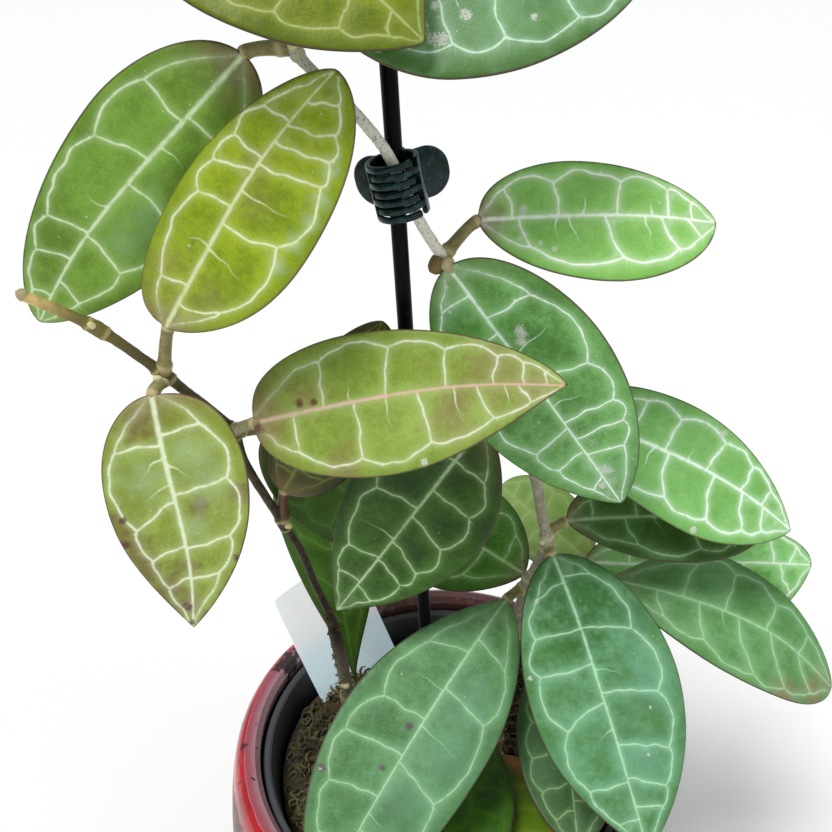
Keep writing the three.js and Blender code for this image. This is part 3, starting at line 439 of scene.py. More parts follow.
def waver(line, amount, seed):
    """A line with a slight, smooth sideways wander that is nought at both ends."""
    count = len(line)
    share = np.linspace(0, 1, count)
    wander = np.array([noise.noise(Vector((seed * 7.3, p[1] * 0.22, p[0] * 0.22))) for p in line])
    heading = np.gradient(line, axis=0)
    side = np.stack([-heading[:, 1], heading[:, 0]], axis=1)
    side = side / np.maximum(np.linalg.norm(side, axis=1), 1e-6)[:, None]
    return line + side * (amount * wander * np.sin(np.pi * share))[:, None]


def side_vein(leaf, start, end, across):
    s = np.linspace(0, 1, 24)
    t = start + (end - start) * s ** 1.4
    target = flat_point(leaf, end, across)
    begin = float(midrib_shift(leaf, start))
    x = begin + (target[0] - begin) * s
    return np.stack([x, t * blade_axes(leaf)[2]], axis=1)


def scallops(leaf, joints, sign):
    """The joining vein of one side: base, then from joint to joint in outward bows, then the tip."""
    stops = [(0.012, 0.25 * sign)] + sorted(joints) + [(0.985, 0.3 * sign)]
    lines = []
    for (t0, u0), (t1, u1) in zip(stops[:-1], stops[1:]):
        s = np.linspace(0, 1, 24)
        bow = 4 * s * (1 - s) * min(0.06 + 0.35 * (t1 - t0), 0.16)
        u = np.clip(np.abs(u0) + (np.abs(u1) - np.abs(u0)) * s + bow, 0, 0.88) * sign
        lines.append(flat_point(leaf, t0 + (t1 - t0) * s, u))
    return lines


def vein_lines(leaf, seed):
    """Every vein as (line, half width and strength at its start, the same at its end, kind)."""
    rng = random.Random(seed)
    wide = leaf.get("vein_scale", 1.0)
    length = blade_axes(leaf)[2]
    t = np.linspace(0.0, 0.985, 80)
    midrib = np.stack([midrib_shift(leaf, t), t * length], axis=1)
    found = [(midrib, (0.72 * wide, 1.0), (0.3 * wide, 1.0), "midrib")]
    for start, end, across in leaf["veins"]:
        line = waver(side_vein(leaf, start, end, across), 1.1, rng.random())
        found.append((line, (0.34 * wide, 1.0), (0.32 * wide, 0.95), "side"))
    for sign in (-1, 1):
        joints = [(end, across) for _, end, across in leaf["veins"] if across * sign > 0]
        bows = scallops(leaf, joints, sign)
        for number, line in enumerate(bows):
            first = 0.25 if number == 0 else 0.95
            last = 0.6 if number == len(bows) - 1 else 0.95
            found.append((waver(line, 1.0, rng.random()), (0.33 * wide, first), (0.33 * wide, last), "loop"))
            for share in (0.3, 0.7):
                if rng.random() < 0.3:
                    twig = margin_twig(line, share, sign, rng)
                    found.append((twig, (0.26 * wide, 0.4), (0.2, 0.05), "twig"))
        for end, across in joints:
            twig = side_vein(leaf, end, min(end + 0.012, 0.97), 0.95 * sign)
            first = flat_point(leaf, end, across)
            twig = twig[np.abs(twig[:, 0]) > abs(first[0])]
            if len(twig) > 2:
                found.append((twig, (0.26 * wide, 0.4), (0.2, 0.05), "twig"))
    for start, end, across in leaf["spurs"]:
        line = waver(side_vein(leaf, start, end, across), 1.4, rng.random())
        found.append((line, (0.36 * wide, 0.9), (0.24, 0.3), "spur"))
    for line, *_ in [vein for vein in found if vein[3] == "side"]:
        if rng.random() < 0.4:
            found.append((free_branch(line, rng), (0.26 * wide, 0.45), (0.2, 0.05), "spur"))
    return found


def margin_twig(line, share, sign, rng):
    first = line[int(share * (len(line) - 1))]
    run = rng.uniform(1.2, 2.4)
    drift = rng.uniform(-0.6, 1.2)
    return np.stack([first, first + [sign * run * 0.5, drift * 0.4], first + [sign * run, drift]])


def free_branch(line, rng):
    spot = int(rng.uniform(0.35, 0.75) * (len(line) - 1))
    first = line[spot]
    ahead = line[min(spot + 1, len(line) - 1)] - line[spot - 1]
    ahead = ahead / max(np.linalg.norm(ahead), 1e-6)
    turn = rng.choice((-1, 1)) * math.radians(rng.uniform(45, 80))
    heading = np.array([
        ahead[0] * math.cos(turn) - ahead[1] * math.sin(turn),
        ahead[0] * math.sin(turn) + ahead[1] * math.cos(turn),
    ])
    run = rng.uniform(1.5, 3.0)
    bend = np.array([-heading[1], heading[0]]) * rng.uniform(-0.3, 0.3)
    return np.stack([first, first + heading * run * 0.5 + bend, first + heading * run])


# %% [markdown]
# The flat blade becomes a net of triangles whose points follow what has to show: rings along the
# margin, a row on each vein and on both its sides, and an even scatter in the fields. A Delaunay
# net joins them, so each vein is crisp with few triangles.

# %% Points of the flat blade
GRID_STEP = 1.7
RING_INSETS = (0.15, 0.5, 1.1)


def margin_line(leaf):
    length = blade_axes(leaf)[2]
    t = 0.5 - 0.5 * np.cos(np.pi * np.linspace(0, 1, 400))
    left = np.stack([-half_width(leaf, t, False), t * length], axis=1)
    right = np.stack([half_width(leaf, t, True), t * length], axis=1)
    return resample(np.concatenate([left, right[::-1]]), 0.9)[:-1]


def distance_to(points, line, closed=False):
    """Distance of each point to a polyline, and how far along the line the nearest place is."""
    first = line
    second = np.roll(line, -1, axis=0)
    if not closed:
        first, second = line[:-1], line[1:]
    run = second - first
    size = np.maximum((run ** 2).sum(axis=1), 1e-9)
    away = points[:, None, :] - first[None, :, :]
    share = np.clip((away * run).sum(axis=2) / size, 0, 1)
    gap = np.linalg.norm(away - share[..., None] * run, axis=2)
    nearest = gap.argmin(axis=1)
    rows = np.arange(len(points))
    return gap[rows, nearest], (nearest + share[rows, nearest]) / len(first)


class Sieve:
    """Keeps points apart: a new one is let in only if no earlier one is closer than its spacing."""

    def __init__(self):
        self.cells = {}
        self.points = []

    def add(self, candidates, spacing):
        for x, y in candidates:
            column, row = int(x // 1.0), int(y // 1.0)
            reach = int(spacing) + 1
            near = (self.cells.get((column + i, row + j), ())
                    for i in range(-reach, reach + 1) for j in range(-reach, reach + 1))
            if any((x - a) ** 2 + (y - b) ** 2 < spacing ** 2 for cell in near for a, b in cell):
                continue
            self.cells.setdefault((column, row), []).append((x, y))
            self.points.append((x, y))


def beside(line, offset):
    heading = np.gradient(line, axis=0)
    side = np.stack([-heading[:, 1], heading[:, 0]], axis=1)
    side = side / np.maximum(np.linalg.norm(side, axis=1), 1e-6)[:, None]
    return line + side * np.asarray(offset)[:, None]


VEIN_REACH = 1.5


def blade_points(leaf, margin, veins, seed):
    sieve = Sieve()
    sieve.add(margin, 0.05)
    rim = len(sieve.points)
    lines = [(resample(line, VEIN_STEP), start[0], end[0]) for line, start, end, _ in veins]
    for line, _, _ in lines:
        sieve.add(line, 0.28)
    for line, w0, w1 in lines:
        widths = np.maximum(np.linspace(w0, w1, len(line)) * VEIN_REACH, 0.42)
        for sign in (-1, 1):
            sieve.add(beside(line, sign * widths), 0.32)
    for inset in RING_INSETS:
        sieve.add(beside_ring(margin, inset), 0.75 * inset if inset < 0.6 else 0.7)
    for t, u, radius in leaf.get("scars", []) + leaf.get("blotches", []):
        for share in (0, 0.35, 0.7, 1.1):
            turns = np.linspace(0, 2 * np.pi, 11)[:-1] if share else np.zeros(1)
            ring = np.stack([np.cos(turns), np.sin(turns)], axis=1) * radius * share
            sieve.add(flat_point(leaf, t, u) + ring, 0.3)
    rng = random.Random(seed)
    low, high = margin.min(axis=0), margin.max(axis=0)
    grid = []
    for i in range(int((high[0] - low[0]) / GRID_STEP) + 1):
        for j in range(int((high[1] - low[1]) / GRID_STEP) + 1):
            shift = 0.5 * GRID_STEP * (j % 2)
            grid.append((low[0] + i * GRID_STEP + shift + rng.uniform(-0.25, 0.25),
                         low[1] + j * GRID_STEP + rng.uniform(-0.25, 0.25)))
    sieve.add(grid, 1.1)
    points = np.array(sieve.points)
    inside = inside_ring(points, margin)
    gap, _ = distance_to(points, margin, closed=True)
    keep = inside & (gap > 0.1)
    keep[:rim] = True
    return points[keep], rim


def beside_ring(ring, inset):
    heading = np.roll(ring, -1, axis=0) - np.roll(ring, 1, axis=0)
    side = np.stack([heading[:, 1], -heading[:, 0]], axis=1)
    side = side / np.maximum(np.linalg.norm(side, axis=1), 1e-6)[:, None]
    return ring + side * inset


def inside_ring(points, ring):
    """Even-odd rule: which points lie inside the closed ring."""
    first, second = ring, np.roll(ring, -1, axis=0)
    x, y = points[:, 0][:, None], points[:, 1][:, None]
    crosses = (first[:, 1] > y) != (second[:, 1] > y)
    run = (second[:, 1] - first[:, 1])
    run = np.where(np.abs(run) < 1e-12, 1e-12, run)
    at = first[:, 0] + (y - first[:, 1]) / run * (second[:, 0] - first[:, 0])
    return (crosses & (x < at)).sum(axis=1) % 2 == 1


# %% [markdown]
# Each point then gets what the material reads: how much of a vein it is, how near the margin, the
# middle of a field, the foot of the blade, the marks that age leaves, and the patches of painted
# sheen and, on one leaf, painted shade. The sheet gets its thickness here too: fields stand a little
# proud of the veins, the midrib runs in a groove above and on a keel below, and the margin is round.

# %% Build a blade
FIELD_SWELL = 0.32
GROOVE_DEPTH = 0.3
KEEL_HEIGHT = 0.7
RIM_ROUNDING = 0.5


def vein_values(points, veins):
    strength = np.zeros(len(points))
    to_main = np.full(len(points), 99.0)
    to_midrib = np.full(len(points), 99.0)
    for line, start, end, kind in veins:
        gap, share = distance_to(points, resample(line, VEIN_STEP))
        reach = (start[0] + (end[0] - start[0]) * share) * VEIN_REACH
        power = start[1] + (end[1] - start[1]) * share
        strength = np.maximum(strength, power * np.clip(1 - gap / reach, 0, 1))
        if kind in ("midrib", "side", "loop"):
            to_main = np.minimum(to_main, gap)
        if kind == "midrib":
            to_midrib = gap
    return strength, to_main, to_midrib


def marks(leaf, points, kind):
    value = np.zeros(len(points))
    for t, u, radius in leaf.get(kind, ()):
        middle = flat_point(leaf, t, u)
        gap = np.linalg.norm(points - middle, axis=1)
        edge = np.array([noise.noise(Vector((x * 0.3, y * 0.3, radius + t * 5))) for x, y in points])
        gap = gap * (1 + 0.7 * edge)
        value = np.maximum(value, np.exp(-(gap / radius) ** 2))
    return value


def make_mesh(name, vertices, faces, values):
    mesh = bpy.data.meshes.new(name)
    mesh.from_pydata([tuple(v) for v in vertices], [], faces)
    for key, value in values.items():
        layer = mesh.attributes.new(key, "FLOAT", "POINT")
        layer.data.foreach_set("value", np.asarray(value, np.float32))
    mesh.polygons.foreach_set("use_smooth", [True] * len(mesh.polygons))
    mesh.update()
    return mesh


def link_piece(name, mesh, material, body, replaced):
    piece = bpy.data.objects.new(name, mesh)
    bpy.context.scene.collection.objects.link(piece)
    if material:
        mesh.materials.append(material)
    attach(piece, body)
    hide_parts(*replaced)
    return piece


def blade_mesh(leaf, seed):
    """Vertices in mm, faces and values of one blade, a closed shell."""
    length = blade_axes(leaf)[2]
    margin = margin_line(leaf)
    veins = vein_lines(leaf, seed)
    points, rim = blade_points(leaf, margin, veins, seed)
    edges = [(i, (i + 1) % rim) for i in range(rim)]
    net = delaunay_2d_cdt([Vector(p) for p in points], edges, [], 1, 1e-5)
    flat = np.array([tuple(v) for v in net[0]])
    faces = [tuple(f) for f in net[2] if len(f) == 3]
    gap, _ = distance_to(flat, margin, closed=True)
    on_rim = gap < 0.02
    strength, to_main, to_midrib = vein_values(flat, veins)
    t = np.clip(flat[:, 1] / length, 0, 1)
    middle = middle_surface(leaf, flat)
    normal = surface_normals(leaf, flat)
    depth = np.clip(gap / RIM_ROUNDING, 0, 1)
    body = BLADE_THICKNESS / 2 * np.sqrt(np.clip(1 - (1 - depth) ** 2, 0, 1))
    calm = np.clip(gap / 2.5, 0, 1)
    swell = FIELD_SWELL * (1 - np.exp(-(to_main / 2.4) ** 2)) * calm
    groove = GROOVE_DEPTH * np.exp(-(to_midrib / 1.3) ** 2) * (1 - t) * calm
    keel = KEEL_HEIGHT * np.exp(-(to_midrib / 1.2) ** 2) * (1 - t) * calm
    wave = np.array([noise.noise(Vector((x * 0.06, y * 0.06, seed * 3.1))) for x, y in flat]) * 0.7
    upper = middle + normal * (body + swell - groove + wave)[:, None]
    lower = middle - normal * (body + keel - swell * 0.5 - wave)[:, None]
    count = len(flat)
    under_index = np.where(on_rim, np.arange(count), -1)
    fresh = np.nonzero(~on_rim)[0]
    under_index[fresh] = count + np.arange(len(fresh))
    vertices = np.concatenate([upper, lower[fresh]])
    flipped = [(int(under_index[c]), int(under_index[b]), int(under_index[a])) for a, b, c in faces]
    values = {
        "vein": strength,
        "edge": np.exp(-(gap / 0.55) ** 2),
        "field": 1 - np.exp(-(to_main / 2.2) ** 2),
        "foot": np.exp(-(t / 0.09)),
        "midrib": np.exp(-(to_midrib / 1.1) ** 2),
        "ahead": t,
        "scar": marks(leaf, flat, "scars"),
        "blotch": marks(leaf, flat, "blotches"),
        "haze": marks(leaf, flat, "hazes"),
        "sheen": marks(leaf, flat, "painted_sheens"),
        "frost": marks(leaf, flat, "frosts"),
        "band": np.exp(-(gap / 4.5) ** 2),
        "upper": np.ones(count),
        "stalk": np.zeros(count),
    }
    both = {key: np.concatenate([value, value[fresh]]) for key, value in values.items()}
    both["upper"][count:] = 0
    return vertices, faces + flipped, both


# %% [markdown]
# A stalk is a bent tube: it starts inside the stem's seat, swells a little at both ends, and ends
# in the blade's keel. The same tube maker serves the vines, so it takes a radius for every ring.

# %% Bent tubes
def smooth_path(points, step):
    """A centripetal Catmull-Rom curve through the points, with places an even step apart."""
    points = np.array(points, float)
    padded = np.concatenate([[2 * points[0] - points[1]], points, [2 * points[-1] - points[-2]]])
    knots = np.concatenate([[0], np.cumsum(np.sqrt(np.linalg.norm(np.diff(padded, axis=0), axis=1)))])
    places = []
    for i in range(1, len(padded) - 2):
        p0, p1, p2, p3 = padded[i - 1:i + 3]
        k0, k1, k2, k3 = knots[i - 1:i + 3]
        k = np.linspace(k1, k2, 40, endpoint=False)[:, None]
        a1 = (k1 - k) / (k1 - k0) * p0 + (k - k0) / (k1 - k0) * p1
        a2 = (k2 - k) / (k2 - k1) * p1 + (k - k1) / (k2 - k1) * p2
        a3 = (k3 - k) / (k3 - k2) * p2 + (k - k2) / (k3 - k2) * p3
        b1 = (k2 - k) / (k2 - k0) * a1 + (k - k0) / (k2 - k0) * a2
        b2 = (k3 - k) / (k3 - k1) * a2 + (k - k1) / (k3 - k1) * a3
        places.append((k2 - k) / (k2 - k1) * b1 + (k - k1) / (k2 - k1) * b2)
    dense = np.concatenate(places + [[padded[-2]]])
    run = np.concatenate([[0], np.cumsum(np.linalg.norm(np.diff(dense, axis=0), axis=1))])
    count = max(int(run[-1] / step), 3)
    spots = np.linspace(0, run[-1], count + 1)
    return np.stack([np.interp(spots, run, dense[:, k]) for k in range(3)], axis=1)


def tube(path, radii, sides, dome=True):
    """Vertices and faces of a closed tube along a path, with a radius at every ring."""
    heading = np.gradient(path, axis=0)
    heading = heading / np.linalg.norm(heading, axis=1)[:, None]
    side = np.cross(heading[0], [0.3, 1, 0.2])
    side = side / np.linalg.norm(side)
    vertices = []
    angles = 2 * np.pi * np.arange(sides) / sides
    for place, ahead, radius in zip(path, heading, radii):
        side = side - ahead * (side @ ahead)
        side = side / np.linalg.norm(side)
        other = np.cross(ahead, side)
        ring = np.cos(angles)[:, None] * side + np.sin(angles)[:, None] * other
        vertices.append(place + ring * radius)
    count = len(path)
    faces = [(i * sides + j, i * sides + (j + 1) % sides,
              (i + 1) * sides + (j + 1) % sides, (i + 1) * sides + j)
             for i in range(count - 1) for j in range(sides)]
    bulge = 0.6 if dome else 0.0
    ends = [path[0] - heading[0] * radii[0] * bulge, path[-1] + heading[-1] * radii[-1] * bulge]
    start, end = count * sides, count * sides + 1
    faces += [(start, (j + 1) % sides, j) for j in range(sides)]
    last = (count - 1) * sides
    faces += [(end, last + j, last + (j + 1) % sides) for j in range(sides)]
    return np.concatenate([np.concatenate(vertices), ends]), faces


STALK_RADIUS = 1.9
STALK_END_RADIUS = 1.45
STALK_SIDES = 14
STALK_END_DEPTH = 1.9
KEEL_DEPTH = 1.0


def stalk_mesh(leaf):
    base, chord, length, face, _ = blade_axes(leaf)
    into = middle_surface(leaf, np.array([[0.0, 0.09 * length]]))[0] - face * STALK_END_DEPTH
    under = base - face * KEEL_DEPTH
    path = smooth_path([leaf["joint"], under, into], 0.6)
    share = np.linspace(0, 1, len(path))
    neck = np.linalg.norm(path - under, axis=1)
    swell = 0.35 * np.exp(-(share / 0.14) ** 2) + 0.3 * np.exp(-(neck / 1.6) ** 2)
    swell = swell + 0.3 * np.exp(-((share - 0.12) / 0.04) ** 2)
    past = np.clip((path - base) @ chord / length / 2.5, 0, 1)
    radii = STALK_RADIUS + (STALK_END_RADIUS - STALK_RADIUS) * share + swell - 0.75 * past
    vertices, faces = tube(path, radii, STALK_SIDES)
    rings = np.exp(-(neck / 0.7) ** 2) + 0.8 * np.exp(-((share - 0.1) / 0.05) ** 2)
    return vertices, faces, np.concatenate([np.repeat(rings, STALK_SIDES), [0, 0]])


# %% [markdown]
# A fresh hoya leaf is a thick waxy skin over pale green flesh: soft, broad highlights and a little
# light inside the rim. Each leaf gets its own colours: young and sunlit ones are olive, old ones have
# purple blotches, and leaves low in the plant or under others are dark green, partly their own colour
# and partly painted shade. Pale sheens on some blades are the sky's reflection painted as colour.
# Colours were first judged from the photograph and then adjusted in renders, and so were the sizes of
# the noises.

# %% Leaf material
LEAF_VALUES = ("vein", "edge", "field", "foot", "midrib", "warm", "scar", "blotch", "haze", "sheen", "frost",
               "band", "upper", "stalk", "ring")
LEAF_GRAINS = ((18, 3, 0.5, 0.32), (7, 3, 0.5, 0.2), (2.2, 5, 0.65, 0.24), (0.5, 3, 0.7, 0.24))
SPECKS = ((6.0, 0.05, 0.5), (1.5, 0.12, 0.14))


def leaf_material(name, light, dark, vein, midrib=None, margin="#4a2f2a", blotch="#6d4440",
                  foot="#8a6a50", stalk="#928a56", under="#9db487", warm_edge=None, band=None,
                  band_power=0.35, vein_power=0.85, glow_power=0.3, haze="#8a6450", haze_power=0.55,
                  sheen="#bcd8cc", painted_sheen_power=0.35):
    material, tree, shader, place = start_material(name)
    value = {key: add_node(tree, "ShaderNodeAttribute", {}, "Fac", attribute_name=key) for key in LEAF_VALUES}
    cloudy, grains = 0.0, []
    for size, detail, roughness, share in LEAF_GRAINS:
        grains.append(add_node(tree, NOISE, {"Vector": place, "Scale": 1 / (size * MM), "Detail": detail,
                                             "Roughness": roughness}))
        cloudy = add_node(tree, MATH, {0: grains[-1], 1: share, 2: cloudy}, operation="MULTIPLY_ADD")
    patchy, fine = grains[2:]
    near_vein = add_node(tree, MATH, {0: 1.0, 1: value["field"]}, operation="SUBTRACT")
    shade = add_node(tree, MATH, {0: near_vein, 1: -0.07, 2: cloudy}, operation="MULTIPLY_ADD")
    colour = glaze(tree, linear(light), linear(dark), shade, 0.36, 0.6)
    colour = glaze(tree, colour, linear(band or dark), value["band"], power=band_power)
    if warm_edge:
        warm = add_node(tree, MATH, {0: patchy, 1: 1.2, 2: value["warm"]}, operation="MULTIPLY_ADD")
        colour = glaze(tree, colour, linear(warm_edge), warm, 0.85, 1.6, 0.9)
    # Hazes are a flush of the leaf's own colour, on the front right leaf painted shade; sheens are painted
    # sheen, pale patches that stand for the sky's reflection on the wax.
    for key, tint, high, power in (("haze", haze, 0.5, haze_power), ("sheen", sheen, 0.8, painted_sheen_power)):
        textured = add_node(tree, MATH, {0: value[key], 1: patchy}, operation="MULTIPLY")
        colour = glaze(tree, colour, linear(tint), textured, 0.03, high, power)
    colour = glaze(tree, colour, linear(foot), value["foot"], power=0.6)
    vein_colour = linear(vein)
    if midrib:
        vein_colour = glaze(tree, vein_colour, linear(midrib), value["midrib"])
    close = add_node(tree, MATH, {0: near_vein, 1: 2.2}, operation="POWER")
    glow = add_node(tree, MATH, {0: close, 1: patchy}, operation="MULTIPLY")
    colour = glaze(tree, colour, vein_colour, glow, 0.0, 0.9, glow_power)
    faded = add_node(tree, MATH, {0: patchy, 1: 2.0, 2: 0.0}, operation="MULTIPLY_ADD")
    vein_mask = add_node(tree, MATH, {0: value["vein"], 1: faded}, operation="MULTIPLY")
    colour = glaze(tree, colour, vein_colour, vein_mask, 0.08, 0.95, vein_power)
    torn = add_node(tree, MATH, {0: fine, 1: 1.0, 2: value["blotch"]}, operation="MULTIPLY_ADD")
    colour = glaze(tree, colour, linear(blotch), torn, 0.78, 1.35, 0.85)
    for key, low, high, power in (("scar", 0.3, 0.46, 0.8), ("frost", 0.42, 0.6, 0.5)):
        crust = add_node(tree, MATH, {0: fine, 1: value[key]}, operation="MULTIPLY")
        colour = glaze(tree, colour, linear("#cdd1c6"), crust, low, high, power)
    for spacing, size, power in SPECKS:
        specks = add_node(tree, VORONOI, {"Vector": place, "Scale": 1 / (spacing * MM)}, "Distance")
        colour = glaze(tree, colour, linear(vein), specks, size, size * 0.4, power)
    colour = glaze(tree, colour, linear(margin), value["edge"], 0.5, 1.0, 0.85)
    below = glaze(tree, linear(under), linear(dark), cloudy, 0.35, 0.75, 0.5)
    below = glaze(tree, below, linear(vein), value["vein"], 0.1, 0.95, 0.45)
    colour = glaze(tree, below, colour, value["upper"])
    stem = glaze(tree, linear(stalk), linear("#4f4a30"), patchy, 0.35, 0.65, 0.45)
    stem = glaze(tree, stem, linear("#cbb98a"), value["ring"], power=0.8)
    colour = glaze(tree, colour, stem, value["stalk"])
    height = add_node(tree, MATH, {0: fine, 1: patchy}, operation="ADD")
    dress(tree, shader, colour, patchy, (0.34, 0.5), height, 0.16)
    shader.inputs["IOR"].default_value = 1.39
    shader.inputs["Subsurface Weight"].default_value = 0.08
    shader.inputs["Subsurface Radius"].default_value = (0.6, 1.0, 0.25)
    shader.inputs["Subsurface Scale"].default_value = 1.2 * MM
    return material


# The shaded and deep_shade looks are darker copies for leaves low in the plant or under others: partly their
# own dark green, partly painted shade.
LOOKS = {
    "olive": dict(light="#7e8e04", dark="#566800", vein="#b0bc74", haze="#7c6a1c"),
    "olive_bright": dict(light="#a0b41c", dark="#728c00", vein="#e8f0c6", midrib="#dde2b0",
                         haze="#86744a", sheen="#cfe6e2", margin="#6d4534", haze_power=0.35),
    "olive_shaded": dict(light="#4b4f08", dark="#333703", vein="#848640", stalk="#6a4434"),
    "purple": dict(light="#9cb052", dark="#7a8a22", vein="#e6f0cc", haze="#6c4a3a", haze_power=0.6,
                   blotch="#5a3434", sheen="#c6e4c0", margin="#5a3038"),
    "pink": dict(light="#96b04e", dark="#788d2a", vein="#e2e8c8", midrib="#dcb9a6", haze="#8e6850",
                 blotch="#5e2a2c", margin="#4e2c28", haze_power=0.42),
    "fresh": dict(light="#96d070", dark="#7ab450", vein="#f8fff2", glow_power=0.45),
    "fresh_pale": dict(light="#87c16f", dark="#6ea951", vein="#ecffec", glow_power=0.5),
    "fresh_shaded": dict(light="#90d080", dark="#57922c", vein="#e8fbe4", glow_power=0.45),
    "mid": dict(light="#84b03e", dark="#628820", vein="#e6f8cc", haze="#6e5244", sheen="#a6d0a0",
                haze_power=0.45),
    "bluish_top": dict(light="#5d8b45", dark="#456e2a", vein="#d0ecd2", sheen="#a4cfb0"),
    "bluish": dict(light="#7cb868", dark="#4e7e36", vein="#eeffee", sheen="#a4cfb0", stalk="#b9b088",
                   foot="#809a58"),
    # The dark green haze and foot of this look are painted shade at the top of its leaf.
    "blue_front": dict(light="#6aa276", dark="#447638", vein="#c0ecc4", sheen="#7db3a0", haze="#2a641c",
                       foot="#33681e", haze_power=0.85, vein_power=0.62),
    "grey_front": dict(light="#649862", dark="#446f3c", vein="#b6deb2", sheen="#76a292", blotch="#5e4452",
                       foot="#6f9048", vein_power=0.62),
    "arching": dict(light="#6fa268", dark="#4d823d", vein="#aedaab", vein_power=0.6),
    "deep_shade": dict(light="#447428", dark="#2c5010", vein="#aed2a2", under="#6f8a58", vein_power=0.55),
    "deep_shade_middle": dict(light="#426e18", dark="#1e4002", vein="#b4cf9e", glow_power=0.25),
    "deep_shade_behind": dict(light="#5e9a30", dark="#305c08", vein="#d2f2ba", vein_power=0.6),
    "deep_shade_low": dict(light="#3a6c03", dark="#1c3e02", vein="#516b18", vein_power=0.5),
    "shaded": dict(light="#426e10", dark="#305003", vein="#5e843c"),
    "shaded_grey": dict(light="#446c3f", dark="#345729", vein="#8cb178"),
    "pale": dict(light="#90ae58", dark="#7a9b46", vein="#b9cd95", vein_power=0.35),
    "red_edge": dict(light="#587403", dark="#3c6403", vein="#808c30", margin="#8a3c1c",
                     warm_edge="#b25a1a", vein_power=0.4),
}
leaf_materials = {look: leaf_material("waxy_leaf_" + look, **colours) for look, colours in LOOKS.items()}
print("leaf materials:", len(leaf_materials))

# %% [markdown]
# Blade and stalk of a leaf are one piece, as on the plant: their points are joined to one mesh, the
# stalk's end stays hidden under the blade, and each leaf takes the material of its own age and light.

# %% Grow the leaves
def join_parts(parts):
    """Joins (vertices, faces, values) parts to one; a value that a part lacks is nought there."""
    keys = sorted({key for _, _, values in parts for key in values})
    vertices, faces, values, start = [], [], {key: [] for key in keys}, 0
    for part_vertices, part_faces, part_values in parts:
        vertices.append(part_vertices)
        faces += [tuple(i + start for i in face) for face in part_faces]
        for key in keys:
            values[key].append(np.asarray(part_values.get(key, np.zeros(len(part_vertices)))))
        start += len(part_vertices)
    return np.concatenate(vertices), faces, {key: np.concatenate(value) for key, value in values.items()}


PLANT = "plant"
total = 0
for number, leaf in enumerate(LEAVES):
    blade_part = blade_mesh(leaf, number + 1)
    blade_part[2]["warm"] = 0.75 * blade_part[2]["band"] + 0.5 * np.exp(-(blade_part[2]["ahead"] / 0.5) ** 2)
    stalk_vertices, stalk_faces, rings = stalk_mesh(leaf)
    ones = np.ones(len(stalk_vertices))
    stalk_part = (stalk_vertices, stalk_faces, {"stalk": ones, "upper": ones, "field": ones, "ring": rings})
    vertices, faces, values = join_parts([blade_part, stalk_part])
    mesh = make_mesh(leaf["name"] + "_blade", vertices * MM, faces, values)
    total += len(faces)
    link_piece(leaf["name"] + "_blade", mesh, leaf_materials[leaf["look"]], PLANT,
               [leaf["name"]])
print("leaf faces:", total)

# %% [markdown]
# ## Vines
#
# The vines are smooth, leafless cord-like stems that thicken at every node. Each node wears a raised
# ring scar where a pair of leaves or bracts stood. The old left vine has a rough bark with short
# rootlets near the soil and a green, growing end with a bud.

# %% Vines
VINES = {
    "vine_right": dict(
        path=[(19, -1, 100), (20, 0, 130), (23, 3, 165), (25, 4, 193), (27, 4, 212), (33, 6, 230),
              (31, 7, 240), (28, 11, 254), (22, 10, 270), (17, 9, 283), (7, 6, 308), (-3, 2, 334),
              (-7, -2.6, 342), (-10.7, -4.4, 349), (-14.8, -4.6, 358), (-19, -4.8, 367), (-28, -4.4, 378),
              (-39, -4, 389), (-46, -3, 401), (-51, -1, 411), (-57, 6, 431)],
        nodes=[(19, 0, 134), (27, 4, 213), (33, 6, 231), (17, 9, 283), (-3, 2, 334), (-41, -4, 391),
               (-47, -3, 402)],
        foot=2.3, tip=1.2, slot="stem_pale"),
    "vine_left": dict(
        path=[(-40, 27, 98), (-40, 27, 122), (-44, 20, 180), (-49, 16, 204), (-52, 12, 222), (-56, 7, 238),
              (-65, 1, 268), (-67, -1, 281), (-77, -10, 301), (-81, -12, 307), (-95, -17, 324),
              (-109, -24, 337)],
        nodes=[(-40, 27, 126), (-56, 7, 238), (-67, -1, 281), (-81, -12, 307), (-95, -16, 324)],
        foot=2.6, tip=1.45, bark_end=0.36, slot="stem_dark"),
    "vine_back": dict(
        path=[(34, 24, 100), (38, 23, 130), (43, 22, 165), (47, 22, 185), (52, 23, 204)],
        nodes=[(43, 22, 165), (47, 22, 185), (51, 23, 202)],
        foot=2.2, tip=1.7, slot="stem_pale"),
}
NODE_SWELL = 0.7
NODE_REACH = 3.2
BARK_FADE = 0.1
RING_OFFSET = 2.6
RING_HEIGHT = 0.35
VINE_SIDES = 20


